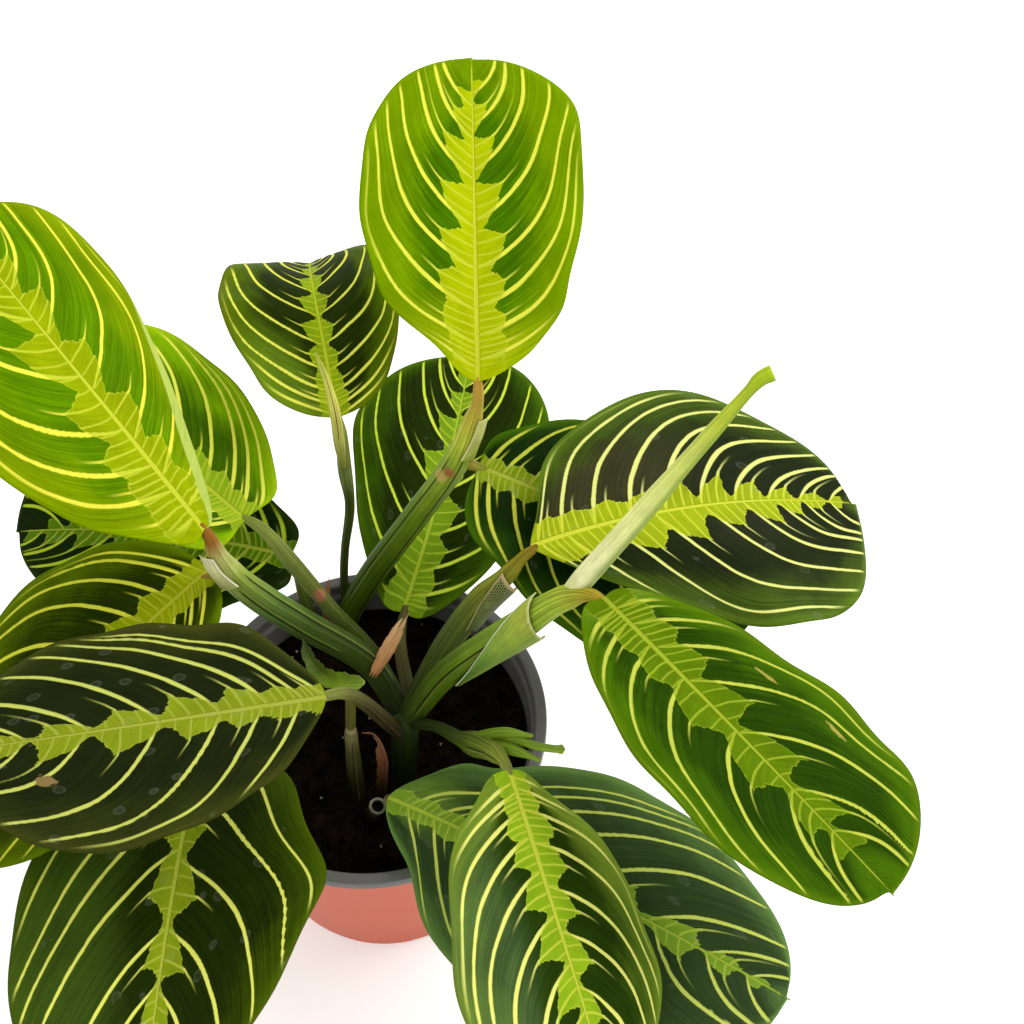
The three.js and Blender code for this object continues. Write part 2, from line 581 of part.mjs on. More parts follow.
function huskMesh(husk) {
  const steps = 9;
  const across = 4;
  const line = centreLine(husk.run, steps);
  const face = V(husk.face).normalize();
  const inner = [];
  const outward = [];
  line.forEach(({ point, tangent, radius }) => {
    const side = new THREE.Vector3().crossVectors(tangent, face).normalize();
    const up = new THREE.Vector3().crossVectors(side, tangent).normalize();
    inner.push([]);
    outward.push([]);
    for (let j = 0; j <= across; j++) {
      const v = (2 * j) / across - 1;
      inner[inner.length - 1].push(point.clone().addScaledVector(side, radius * v)
        .addScaledVector(up, husk.cup * radius * (v * v - 0.5)));
      outward[outward.length - 1].push(up);
    }
  });
  return stripMesh(inner, outward, sheathThick);
}

function potMesh() {
  const p = pot;
  const profile = [
    [0, 0], [p.padRadius, 0], [p.padRadius + 1.5, p.footHeight], [p.footInner - 1.5, p.footHeight],
    [p.footInner, 0], [p.baseRadius - 0.8, 0], [p.baseRadius, 0.9],
    [p.topRadius - 0.3, p.height - p.lipDepth - 1.6], [p.topRadius + 1.4, p.height - p.lipDepth - 0.2],
    [p.rimRadius - 0.6, p.height - p.lipDepth], [p.rimRadius, p.height - p.lipDepth + 0.7],
    [p.rimRadius, p.height - 0.8], [p.rimRadius - 0.7, p.height], [p.rimInner + 0.6, p.height],
    [p.rimInner, p.height - 0.7], [p.rimInner - 0.2, p.height - 5],
    [p.topRadius - p.wall - 0.8, p.height - 6.4], [p.baseRadius - p.wall + 0.2, p.floorTop], [0, p.floorTop],
  ];
  const lathe = new THREE.LatheGeometry(profile.map(([x, y]) => new THREE.Vector2(x, y)), p.segments);
  lathe.rotateX(Math.PI / 2);
  let body = toSolid(outward(lathe));
  for (let i = 0; i < p.notches; i++) {
    const a = (2 * Math.PI * (i + 0.5)) / p.notches;
    const notch = new THREE.BoxGeometry(14, p.notchWidth, 2 + p.footHeight);
    notch.translate(p.baseRadius - 1, 0, p.footHeight / 2 - 1);
    notch.rotateZ(a);
    body = body.subtract(toSolid(notch));
  }
  for (let i = 0; i < p.drains; i++) {
    const a = (2 * Math.PI * (i + 0.5)) / p.drains;
    const drain = new THREE.CylinderGeometry(p.drainRadius, p.drainRadius, 8, 14);
    drain.rotateX(Math.PI / 2);
    drain.translate(p.drainCircle * Math.cos(a), p.drainCircle * Math.sin(a), 2);
    body = body.subtract(toSolid(drain));
  }
  return fromSolid(body);
}

// Turns a merged closed geometry to face out.
function outward(geometry) {
  const bare = new THREE.BufferGeometry();
  bare.setAttribute('position', geometry.getAttribute('position').clone());
  bare.setIndex(geometry.index.clone());
  const merged = mergeVertices(bare, 1e-4);
  const index = merged.index.array;
  const place = merged.getAttribute('position');
  const points = [];
  for (let i = 0; i < place.count; i++) points.push(new THREE.Vector3().fromBufferAttribute(place, i));
  const triangles = [];
  for (let i = 0; i < index.length; i += 3) {
    const [a, b, c] = [index[i], index[i + 1], index[i + 2]];
    if (a !== b && b !== c && c !== a) triangles.push([a, b, c]);
  }
  return closedMesh(points, triangles);
}

function innerWall(z) {
  const lower = [pot.baseRadius - pot.wall + 0.2, pot.floorTop];
  const upper = [pot.topRadius - pot.wall - 0.8, pot.height - 6.4];
  return lower[0] + ((upper[0] - lower[0]) * (z - lower[1])) / (upper[1] - lower[1]);
}

function soilMesh(holes) {
  const random = seeded(41);
  const { rings, segments, level } = soil;
  // the wall of the pot is faceted, so the fill stands back by the facets' depth as well
  const inset = seatGap + pot.topRadius * (1 - Math.cos(Math.PI / pot.segments));
  const points = [new THREE.Vector3(0, 0, level)];
  const triangles = [];
  for (let i = 1; i <= rings; i++) {
    for (let j = 0; j < segments; j++) {
      const a = (2 * Math.PI * j) / segments;
      const r = ((innerWall(level) - inset) * i) / rings;
      const z = level + (i === rings ? -0.8 : soil.lump * (2 * random() - 1));
      points.push(new THREE.Vector3(r * Math.cos(a), r * Math.sin(a), z));
    }
  }
  const foot = pot.floorTop + seatGap;
  for (let j = 0; j < segments; j++) {
    const a = (2 * Math.PI * j) / segments;
    const r = innerWall(foot) - inset;
    points.push(new THREE.Vector3(r * Math.cos(a), r * Math.sin(a), foot));
  }
  const base = points.push(new THREE.Vector3(0, 0, foot)) - 1;
  const at = (i, j) => 1 + (i - 1) * segments + (j % segments);
  for (let j = 0; j < segments; j++) {
    triangles.push([0, at(1, j), at(1, j + 1)], [base, at(rings + 1, j + 1), at(rings + 1, j)]);
    for (let i = 1; i <= rings; i++) {
      triangles.push([at(i, j), at(i + 1, j), at(i + 1, j + 1)], [at(i, j), at(i + 1, j + 1), at(i, j + 1)]);
    }
  }
  let body = toSolid(closedMesh(points, triangles));
  for (const hole of holes) body = body.subtract(hole);
  return fromSolid(body);
}

function piece(name, geometry, color, roughness = 0.6) {
  const flat = geometry.index ? geometry.toNonIndexed() : geometry;
  flat.computeVertexNormals();
  const mesh = new THREE.Mesh(flat, new THREE.MeshStandardMaterial({ color, roughness }));
  mesh.name = name;
  return mesh;
}

const group = new THREE.Group();
group.name = 'potted_prayer_plant_maranta';

// A stalk that carries a blade runs on a little way under the blade's base, where its seat is cut.
function stalkRun(stalk) {
  if (!stalk.leaf) return stalk.run;
  const surface = bladeSurface(leaves[stalk.leaf]);
  const under = surface(0.012, 0).add(new THREE.Vector3(0, 0, -0.9));
  return [...stalk.run, [under.x, under.y, under.z, 1.6]];
}

const grown = {};
const holes = [];
for (const [name, stalk] of Object.entries(stalks)) {
  const run = stalkRun(stalk);
  const steps = Math.max(4, 3 * (run.length - 1));
  const sides = run[0][3] > 3 ? 10 : 8;
  let solid = toSolid(roundRun(run, steps, sides));
  for (const other of stalk.clear ?? []) solid = solid.subtract(grown[other]);
  if (stalk.leaf) solid = solid.subtract(toSolid(bladeMesh(leaves[stalk.leaf], seatGap)));
  // slivers left behind by the cuts go; the stalk is its largest part
  const parts = solid.decompose().sort((a, b) => b.volume() - a.volume());
  grown[name] = toSolid(roundRun(run, steps, sides, seatGap));
  if (run[0][2] < soil.level) holes.push(grown[name]);
  group.add(piece(name, fromSolid(parts[0]), stalk.color));
}

const rolled = (v) => 1 + 0.2 * ((v + furledLeaf.seam) % 1) - 0.1;
let furled = toSolid(roundRun(furledLeaf.run, 16, 12, 0, rolled));
furled = furled.subtract(grown.stem_right);
group.add(piece('leaf_furled', fromSolid(furled.decompose().sort((a, b) => b.volume() - a.volume())[0]),
  furledLeaf.color));

let bud = toSolid(roundRun(flowerBud.stalk, 10, 8));
for (const spike of flowerBud.spikes) bud = bud.add(toSolid(roundRun(spike, 6, 8)));
bud = bud.subtract(grown.stem_front);
group.add(piece('flower_bud', fromSolid(bud.decompose().sort((a, b) => b.volume() - a.volume())[0]),
  flowerBud.color));

for (const [name, leaf] of Object.entries(leaves)) group.add(piece(name, bladeMesh(leaf), leaf.color, 0.5));
for (const [name, sheath] of Object.entries(sheaths)) {
  group.add(piece(name, sheathMesh(sheath), sheath.color));
}
for (const [name, husk] of Object.entries(husks)) group.add(piece(name, huskMesh(husk), husk.color, 0.8));

group.add(piece('soil', soilMesh(holes), 0x1d1712, 0.95));
group.add(piece('pot', potMesh(), 0xcd735f, 0.5));

export default group;
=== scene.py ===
import functools
import math
from types import SimpleNamespace

import bpy
import numpy as np
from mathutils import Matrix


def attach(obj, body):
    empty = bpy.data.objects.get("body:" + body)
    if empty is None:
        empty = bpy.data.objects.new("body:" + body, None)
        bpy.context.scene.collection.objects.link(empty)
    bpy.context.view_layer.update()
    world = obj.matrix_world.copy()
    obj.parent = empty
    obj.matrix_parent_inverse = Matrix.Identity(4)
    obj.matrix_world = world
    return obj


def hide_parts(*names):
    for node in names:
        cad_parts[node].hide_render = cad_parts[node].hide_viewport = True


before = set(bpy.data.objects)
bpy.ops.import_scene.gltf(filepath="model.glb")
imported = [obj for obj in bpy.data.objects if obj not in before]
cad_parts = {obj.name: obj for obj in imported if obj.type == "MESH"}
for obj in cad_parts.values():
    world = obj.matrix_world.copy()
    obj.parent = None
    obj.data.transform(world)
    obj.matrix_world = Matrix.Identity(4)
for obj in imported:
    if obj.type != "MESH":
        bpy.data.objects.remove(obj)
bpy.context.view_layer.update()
mm = 0.001
scene = bpy.context.scene

# sRGB hex as seen under the studio light, which is brighter than 1, to the colour of the surface itself
lightLevel = 1.3


def linear(code, level=lightLevel):
    parts = [int(code[i:i + 2], 16) / 255 for i in (1, 3, 5)]
    return [(p / 12.92 if p <= 0.04045 else ((p + 0.055) / 1.055) ** 2.4) / level for p in parts] + [1.0]


# A node's output that sums can be written with, so that a pattern reads as its formula.
class Wire:
    def __init__(self, tree, socket):
        self.tree, self.socket = tree, socket

    def other(self, name):
        return Wire(self.tree, self.socket.node.outputs[name])

    def __add__(self, value):
        return addNode(self.tree, "Math", self, value, operation="ADD")

    def __radd__(self, value):
        return addNode(self.tree, "Math", value, self, operation="ADD")

    def __sub__(self, value):
        return addNode(self.tree, "Math", self, value, operation="SUBTRACT")

    def __rsub__(self, value):
        return addNode(self.tree, "Math", value, self, operation="SUBTRACT")

    def __mul__(self, value):
        return addNode(self.tree, "Math", self, value, operation="MULTIPLY")

    def __rmul__(self, value):
        return addNode(self.tree, "Math", value, self, operation="MULTIPLY")

    def __truediv__(self, value):
        return addNode(self.tree, "Math", self, value, operation="DIVIDE")

    def __rtruediv__(self, value):
        return addNode(self.tree, "Math", value, self, operation="DIVIDE")

    def __pow__(self, value):
        return addNode(self.tree, "Math", self, value, operation="POWER")

    def __abs__(self):
        return addNode(self.tree, "Math", self, operation="ABSOLUTE")


# Every node is made here: values fill its open inputs in their order, None leaves one as it is.
def addNode(tree, kind, *values, **settings):
    node = tree.nodes.new("ShaderNode" + kind)
    for key, value in settings.items():
        setattr(node, key, value)
    openInputs = [socket for socket in node.inputs if socket.enabled]
    for socket, value in zip(openInputs, values):
        if isinstance(value, Wire):
            tree.links.new(value.socket, socket)
        elif value is not None:
            socket.default_value = value
    return Wire(tree, next(socket for socket in node.outputs if socket.enabled))


smoothly = dict(interpolation_type="SMOOTHSTEP")  # for a soft step from one value to another
blended = dict(data_type="RGBA")                  # for a mix of two colours


# 0 below low, 1 above high and an even S between them
def smooth(low, high, x):
    t = np.clip((x - low) / (high - low), 0, 1)
    return t * t * (3 - 2 * t)


# the three numbers that a mesh field holds
def fieldParts(put, name):
    first = put("SeparateXYZ", put("Attribute", attribute_name=name).other("Vector"))
    return first, first.other("Y"), first.other("Z")


# a colour with its brightness varied about 1 by a noise
def vary(put, colour, noise, amount):
    factor = (1 - amount) + noise * (2 * amount)
    grey = put("CombineXYZ", factor, factor, factor)
    return put("Mix", 1.0, colour, grey, data_type="RGBA", blend_type="MULTIPLY")


# a line through given points, for a factor that follows it
def followPoints(wire, points):
    mapping = wire.socket.node.mapping
    line = mapping.curves[0]
    while len(line.points) < len(points):
        line.points.new(0.5, 0.5)
    for point, place in zip(line.points, points):
        point.location = place
        point.handle_type = "VECTOR"
    mapping.update()


# colours along a stalk or strip
def followStops(wire, stops):
    elements = wire.socket.node.color_ramp.elements
    while len(elements) < len(stops):
        elements.new(0.5)
    for element, (place, code) in zip(elements, stops):
        element.position, element.color = place, linear(code)


# a new material, the put that adds a node to it, and its shader
def material(name, roughness, ior, gloss=0.5):
    made = bpy.data.materials.new(name)
    made.use_nodes = True
    tree = made.node_tree
    shader = tree.nodes["Principled BSDF"]
    shader.inputs["Roughness"].default_value = roughness
    shader.inputs["IOR"].default_value = ior
    shader.inputs["Specular IOR Level"].default_value = gloss
    return made, functools.partial(addNode, tree), shader


# depth is how deep the relief is in mm
def finishMaterial(shader, colour, roughness=None, height=None, depth=0.3, strength=1.0):
    tree = colour.tree
    tree.links.new(colour.socket, shader.inputs["Base Color"])
    if roughness is not None:
        tree.links.new(roughness.socket, shader.inputs["Roughness"])
    if height is not None:
        bump = addNode(tree, "Bump", strength, depth * mm, None, height)
        tree.links.new(bump.socket, shader.inputs["Normal"])


# Adds one mesh. Fields are numbers that its material reads, on its points or on its face corners.
def addPiece(name, points, faces, materials, slots=None, fields=None, corners=None, node=None):
    mesh = bpy.data.meshes.new(name)
    mesh.from_pydata((np.asarray(points) * mm).tolist(), [], faces)
    for made in materials:
        mesh.materials.append(made)
    if slots is not None:
        mesh.polygons.foreach_set("material_index", slots)
    mesh.polygons.foreach_set("use_smooth", [True] * len(mesh.polygons))
    for domain, values in (("POINT", fields or {}), ("CORNER", corners or {})):
        for key, vectors in values.items():
            layer = mesh.attributes.new(key, "FLOAT_VECTOR", domain)
            layer.data.foreach_set("vector", np.asarray(vectors, np.float32).ravel())
    mesh.update()
    piece = bpy.data.objects.new(name, mesh)
    scene.collection.objects.link(piece)
    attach(piece, "root")
    if node:
        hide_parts(node)
    return piece


# several meshes of one piece as one: points, faces and fields of each
def joined(parts):
    points, faces, fields, start = [], [], [], 0
    for partPoints, partFaces, partFields in parts:
        points.append(partPoints)
        fields.append(partFields)
        faces += [tuple(corner + start for corner in face) for face in partFaces]
        start += len(partPoints)
    return np.concatenate(points), faces, np.concatenate(fields)


# Leaf blades: the frame's own surface, drawn on a finer grid. s runs from 0 at the base to 1 at the tip
# and t from -1 at the left margin to 1 at the right one.

bladeEnd = 0.985  # share of the length at which the short point is blunted
swellAt = [0.08, 0.2, 0.4, 0.62, 0.84]  # places where a half swells or shrinks
swellReach = [0.07, 0.1, 0.15, 0.15, 0.12]  # and how far along the blade each of them reaches
bladeGrid = dict(rows=104, cols=68, crowd=1.15)  # crowd draws the columns in towards the midrib
bladeSkin = dict(edge=0.12, middle=0.13, ridge=1.0, ridgeWidth=0.9)  # mm from its middle surface


# half the width along the blade, 1 at its widest, round at the base and with a short point
def halfWidth(s, widest):
    end = 0.975
    q = np.clip(s / end, 1e-9, 1) ** (math.log(0.5) / math.log(widest / end))
    body = 2 * np.sqrt(np.clip(q * (1 - q), 0, None))
    point = 0.22 * (1 - s) * smooth(0.7, 0.97, s)
    return np.hypot(body, point)


# Points of the blade's middle surface, in mm. The midrib is added up from small steps and carried on below
# the base, low, because the lobes reach back past it.
def bladeSurface(leaf, s, t):
    steps, low = 240, -0.2
    span = 1 - low

    def axes(q):
        h = np.radians(leaf["heading"] + leaf["bend"] * q)
        r = np.radians(leaf["rise"][0] + (leaf["rise"][1] - leaf["rise"][0]) * np.clip(q, 0, 1))
        along = np.stack([np.cos(r) * np.cos(h), np.cos(r) * np.sin(h), np.sin(r)], -1)
        side = np.stack([np.sin(h), -np.cos(h), 0 * h], -1)
        return along, side, np.cross(side, along)

    middle = low + span * (np.arange(steps) + 0.5) / steps
    rib = np.concatenate([np.zeros((1, 3)), np.cumsum(axes(middle)[0], 0)]) * leaf["length"] * span / steps
    knots = low + span * np.arange(steps + 1) / steps

    def ribAt(q):
        return np.stack([np.interp(q, knots, rib[:, k]) for k in range(3)], -1)

    # the lobes at the base are drawn back, and skew sets one half ahead of the other
    bump = (s / 0.06) * np.exp(1 - s / 0.06)
    q = s - leaf["lobe"] * t * t * bump + leaf["skew"] * t * np.sin(np.pi * s)
    along, side, up = axes(q)
    roll = np.radians(leaf["roll"] + leaf["twist"] * q)[..., None]
    outward = side * np.cos(roll) + up * np.sin(roll)
    upward = up * np.cos(roll) - side * np.sin(roll)
    swell = 1.0
    for place, reach, left, right in zip(swellAt, swellReach, *leaf["swell"]):
        swell = swell + np.where(t < 0, left, right) * np.exp(-((s - place) / reach) ** 2)
    w = leaf["width"] / 2 * halfWidth(s, leaf["widest"]) * (1 + leaf["uneven"] * t) * swell
    # each half bends on an arc by its curl, from the angle of the fold, and waves grow towards the margin
    k, f, m = math.radians(leaf["curl"]), math.radians(leaf["fold"]), np.abs(t)
    out = w / k * (np.sin(f + k * m) - math.sin(f)) * np.sign(t)
    height, count, phase = leaf["wave"]
    ripple = np.sin(2 * np.pi * count * s + phase + np.where(t > 0, 0, 2))
    rise = -w / k * (np.cos(f + k * m) - math.cos(f)) + height * m ** 3 * np.sin(np.pi * s) * ripple
    onRib = ribAt(q) - ribAt(np.zeros(1))[0] + np.array(leaf["base"])
    return onRib + outward * out[..., None] + upward * rise[..., None]


# A vein leaves the midrib at start, at a slant, and turns up to run beside the margin without meeting it.
# room is the share of the half width that it has, which is less towards the tip.
def veinPath(start, x, climb):
    room = np.clip(1 - (np.clip(start, 0, 1) / 0.82) ** 1.3, 0.02, 1) ** 0.7
    room = np.maximum(room, 0.62 * np.sqrt(1 - np.clip(start, 0, 0.99)))
    far = x / (room * np.where(start < 0, 1 - 0.5 * start, 1))
    margin = 1.06
    near = np.minimum(far, margin)
    turn = 0.18 * near + 0.18 * near ** 2 + 0.02 * near ** 4 / (margin + 0.02 - near)
    turn = turn + 12 * np.maximum(far - margin, 0)  # past the margin it runs straight on
    return start + (1 - np.clip(start, 0, 1)) ** 0.6 * climb * turn


# Number of the vein through (s, x) of one half of the blade, with the parts between two veins counted too.
# x is the distance from the midrib as a share of half the blade's width.
def veinNumber(s, x, places, climb):
    low, high = np.full(s.shape, -1.0), np.full(s.shape, 1.0)
    for _ in range(30):  # halves the stretch in which the vein starts
        start = (low + high) / 2
        over = veinPath(start, x, climb) > s
        high = np.where(over, start, high)
        low = np.where(over, low, start)
    first, last = places[1] - places[0], places[-1] - places[-2]
    knots = [places[0] - 9 * first] + list(places) + [places[-1] + 9 * last]
    return np.interp((low + high) / 2, knots, [-9] + list(range(len(places))) + [len(places) + 8])


# The fields that the leaf materials read, for one half: place on the blade and distance to its edge, vein
# number with the distance from the midrib and between veins, and the reach of the pale band. Lengths in mm.
def halfFields(leaf, look, s, t, half):
    places, climb = look["veins"][half], look["climb"][half]
    across, along = leaf["width"] / 2, leaf["length"]
    x = np.abs(t) * halfWidth(s, leaf["widest"])
    n = veinNumber(s, x, places, climb)
    step = 0.004
    further, nearer = veinNumber(s + step, x, places, climb), veinNumber(s - step, x, places, climb)
    slopeS = (further - nearer) / (2 * step * along)
    slopeX = (veinNumber(s, x + step, places, climb) - veinNumber(s, x, places, climb)) / (step * across)
    gap = np.clip(1 / np.maximum(np.hypot(slopeS, slopeX), 0.02), 0.5, 40)
    middles = np.arange(len(look["teeth"][half])) + 0.5
    tooth = np.interp(n, middles, look["teeth"][half])
    sinus = np.interp(n, middles, look["sinus"][half])
    edge = (1 - np.abs(t)) * halfWidth(s, leaf["widest"]) * across
    edge = np.minimum(edge, (1 - s) * along)
    ahead = len(places) - 1 - n
    fields = [s, t, edge], [n, x * across, gap], [tooth, sinus, ahead]
    return [np.stack(field, -1) for field in fields]


leafIor = 1.45  # leaf skin under its wax


# how far a point lies from a place on the blade, where 1 is the ellipse with the given reaches
def awayFrom(put, at, place, reach):
    along, across = (at.s - place[0]) * (1 / reach[0]), (at.t - place[1]) * (1 / reach[1])
    return put("Math", along ** 2.0 + across ** 2.0, operation="SQRT")


# Where a point lies on the blade and between its veins, with the noises that its patterns are drawn with.
# Their scales are counts over a blade of about 105 mm: 5 is 21 mm, 7 is 15 mm, 30 is 3.5 mm, 40 is 2.6 mm,
# 60 is 1.8 mm. 260 is 0.4 mm, which stands for the cells: they are finer, too fine to show.
def leafPlaces(put, look):
    at = SimpleNamespace()
    at.s, at.t, at.edge = fieldParts(put, "blade")
    at.out = abs(at.t)
    n, at.x, at.gap = fieldParts(put, "vein")
    at.tooth, at.sinus, at.ahead = fieldParts(put, "lobe")
    at.place = put("CombineXYZ", at.s, at.t * 0.5, look["seed"])
    # slow drift and fine jitter of the veins, so that no two run alike
    drift = put("TexNoise", at.place, 5.0) - 0.5
    at.jitter = put("TexNoise", at.place, 40.0) - 0.5
    at.count = n + drift * 0.12 + at.jitter * put("Math", 0.03, 0.18 / at.gap, operation="MINIMUM")
    at.part = put("Math", at.count, operation="FRACT")
    # fine lines that run with the veins, 16 between two of them
    at.lines = put("TexNoise", put("CombineXYZ", at.count * 16.0, at.x * 0.04, look["seed"]), 1.0, 4.0, 0.8)
    at.blotch = put("TexNoise", at.place, 7.0, 3.0)
    return at


# pale feathered band along the midrib: each lobe widens from its vein to a tooth, then is cut in to a sinus
def leafBand(put, at, look):
    outline = put("FloatCurve", None, at.part)
    followPoints(outline, look["lobe"])
    lobe = at.sinus + (at.tooth - at.sinus) * outline
    lobe = lobe * put("MapRange", at.ahead, -0.5, -0.1, **smoothly)
    notches = (put("Math", at.count * 7.0 + at.jitter * 1.6, operation="FRACT") - 0.5) * 0.4
    ragged = (put("TexNoise", at.place, 30.0) - 0.5) * 1.6
    inside = lobe + notches + ragged - at.x
    band = put("MapRange", inside, -0.14, 0.14, **smoothly)
    return band, band * put("MapRange", inside, 0.1, 0.5, 1.0, 0.0, **smoothly)


# main veins, fine veins and midrib; widths are in mm
def leafVeins(put, at, look, band):
    alive = put("MapRange", at.count, -0.5, -0.2, **smoothly)
    alive = alive * put("MapRange", at.ahead, -0.35, -0.15, **smoothly)
    alive = alive * put("MapRange", at.edge, 0.6, 3.5, **smoothly)
    # a main vein is widest just outside the band and hair fine at the margin
    width = look["vein"] * put("MapRange", at.x, 0.0, 9.0, 0.55, 1.0, **smoothly)
    width = width * put("MapRange", at.out, 0.4, 0.95, 1.0, 0.62, **smoothly) * (0.8 + at.blotch * 0.4)
    half = width * 0.5
    near = put("Math", at.count, 0.5, operation="PINGPONG") * at.gap
    vein = put("MapRange", near, half + 0.2, half - 0.16, **smoothly) * alive
    # the fork vein in each lobe runs out through its tooth as a hair line, with weaker ones on both sides
    lean = at.part + put("Math", at.x / at.tooth, 1.0, operation="MINIMUM") * 0.17
    beyond = put("MapRange", at.x - at.tooth, -1.0, 6.0, 1.0, 0.0, **smoothly)
    roomy = put("MapRange", at.gap, 2.5, 4.5, **smoothly) * put("MapRange", at.ahead, 0.2, 0.5, **smoothly)
    forked = put("MapRange", abs(lean - 0.5) * at.gap, 0.42, 0.16, **smoothly) * beyond * alive
    forked = forked * roomy * 0.85
    minor = put("Math", lean * 4.0, 0.5, operation="PINGPONG") * (at.gap * 0.25)
    minor = put("MapRange", minor, 0.38, 0.12, **smoothly) * band * alive * roomy * 0.7
    ribWidth = put("MapRange", at.s, 0.0, 0.95, 0.8, 0.3, **smoothly)
    rib = put("MapRange", at.x, ribWidth + 0.15, ribWidth - 0.2, **smoothly)
    rib = rib * put("MapRange", at.s, 0.97, 0.93, **smoothly)
    return vein, put("Math", forked, minor, operation="MAXIMUM"), rib


# dark cells that turn paler towards the margin and past the last vein
def leafCells(put, at, look):
    reachOut = at.out + (at.lines - 0.5) * 0.35 + (at.blotch - 0.5) * 0.4
    reachOut = reachOut + put("MapRange", at.s, 0.55, 0.95, 0.0, look.get("narrow", 0.0), **smoothly)
    paler = put("Math", put("MapRange", reachOut, *look["zone"], **smoothly),
                put("MapRange", at.ahead, -0.15, -0.8, **smoothly), operation="MAXIMUM")
    if "tipPale" in look:
        tip = put("MapRange", at.s + (at.blotch - 0.5) * 0.12, *look["tipPale"], **smoothly)
        paler = put("Math", paler, tip, operation="MAXIMUM")
    colour = put("Mix", paler, linear(look["dark"]), linear(look["outer"]), **blended)
    margin = put("MapRange", at.edge + at.lines * 3.0, 1.0, 6.0, 0.85, 0.0, **smoothly)
    colour = put("Mix", margin, colour, linear(look["margin"]), **blended)
    # tints are patches of another colour: most are the leaf's own, and those noted at their leaves are
    # painted sheen and painted light
    for s0, t0, reachS, reachT, tint, amount in look.get("tints", []):
        away = awayFrom(put, at, (s0, t0), (reachS, reachT)) + (at.blotch - 0.5) * 0.8
        shown = put("MapRange", away, 0.4, 1.1, amount, 0.0, **smoothly)
        colour = put("Mix", shown, colour, linear(tint), **blended)
    colour = vary(put, colour, at.lines, 0.95)
    return vary(put, colour, at.blotch, 0.3)


# what has happened to the leaf: dried drops, small scars and a margin turned up
def leafTraces(put, at, look, colour):
    # faint rings about 3 mm across, on cells 8 mm apart
    if "rings" in look:
        cells = put("TexVoronoi", at.place, 13.0)
        spread = cells + (put("TexNoise", at.place, 45.0) - 0.5) * 0.12
        ring = put("MapRange", abs(spread - 0.2), 0.0, 0.07, 1.0, 0.0, **smoothly)
        ring = ring + put("MapRange", spread, 0.2, 0.24, 0.6, 0.0, **smoothly)
        chosen = put("MapRange", put("SeparateXYZ", cells.other("Color")), 0.55, 0.6, **smoothly)
        colour = put("Mix", ring * chosen * look["rings"], colour, linear("#a3ab94"), **blended)
    for s0, t0, reachS, reachT, tint in look.get("marks", []):
        away = awayFrom(put, at, (s0, t0), (reachS, reachT)) + (put("TexNoise", at.place, 60.0) - 0.5) * 1.4
        shown = put("MapRange", away, 0.7, 1.1, 1.0, 0.0, **smoothly)
        colour = put("Mix", shown, colour, linear(tint), **blended)
    # where the margin is turned up, the pale underside shows
    if "turned" in look:
        fold = put("FloatCurve", None, at.s)
        followPoints(fold, look["turned"])
        over = put("MapRange", at.t - fold, -0.01, 0.01, **smoothly)
        colour = put("Mix", over, colour, vary(put, linear("#b7c95c"), at.lines, 0.3), **blended)
    return colour


# Upper leaf skin: living cells under a thin wax. To the eye it is satin, with no hard shine, and dark
# green between lime veins that lie a little sunk. The feathered band is the cells' own pale colour.
def leafTopMaterial(name, look):
    made, put, shader = material(name, look["rough"], leafIor, look["shine"])
    at = leafPlaces(put, look)
    grain = put("TexNoise", at.place, 260.0)
    band, bandRim = leafBand(put, at, look)
    vein, fineVein, rib = leafVeins(put, at, look, band)
    outward = put("MapRange", at.x, 0.0, at.tooth + 1.0, **smoothly)
    pale = put("Mix", outward, linear(look["pale"]), linear(look["paleRim"]), **blended)
    pale = vary(put, vary(put, pale, at.blotch, 0.3), at.lines, 0.42)
    colour = put("Mix", band, leafCells(put, at, look), pale, **blended)
    colour = put("Mix", bandRim * 0.5, colour, linear(look["bandVein"]), **blended)
    veinTint = vary(put, linear(look["veinTint"]), at.lines, 0.3)
    veinTint = put("Mix", band, veinTint, linear(look["bandVein"]), **blended)
    colour = put("Mix", put("Math", vein, fineVein, operation="MAXIMUM"), colour, veinTint, **blended)
    colour = put("Mix", rib, colour, linear(look["bandVein"]), **blended)
    colour = leafTraces(put, at, look, vary(put, colour, grain, 0.06))
    roughness = look["rough"] + at.blotch * 0.14 + vein * -0.04
    height = vein * -0.5 + rib * -1.0 + at.lines * 0.35 + grain * 0.22
    finishMaterial(shader, colour, roughness, height, 0.35, 0.8)
    return made


# Lower leaf skin: thin-walled cells with no wax and fine down. To the eye it is matt and greyer, and its
# veins stand out instead of lying sunk.
def leafUnderMaterial(name, look):
    made, put, shader = material(name, 0.55, leafIor, 0.3)
    s, t, edge = fieldParts(put, "blade")
    n, x, gap = fieldParts(put, "vein")
    place = put("CombineXYZ", s, t * 0.5, look["seed"])
    count = n + (put("TexNoise", place, 5.0) - 0.5) * 0.12
    near = put("Math", count, 0.5, operation="PINGPONG") * gap
    vein = put("MapRange", near, 0.6, 0.2, **smoothly) * put("MapRange", edge, 0.3, 3.0, **smoothly)
    rib = put("MapRange", x, 1.1, 0.7, **smoothly)
    lines = put("TexNoise", put("CombineXYZ", count * 11.0, x * 0.05, look["seed"]), 1.0, 3.0, 0.65)
    outward = put("MapRange", abs(t), 0.15, 0.9, **smoothly)
    colour = put("Mix", outward, linear(look["under"]), linear(look["underRim"]), **blended)
    colour = vary(put, colour, lines, 0.14)
    colour = vary(put, colour, put("TexNoise", place, 7.0, 3.0), 0.1)
    raised = put("Math", vein, rib, operation="MAXIMUM")
    colour = put("Mix", raised, colour, linear(look["underVein"]), **blended)
    finishMaterial(shader, colour, None, vein * 0.5 + lines * 0.3, 0.3, 0.7)
    return made


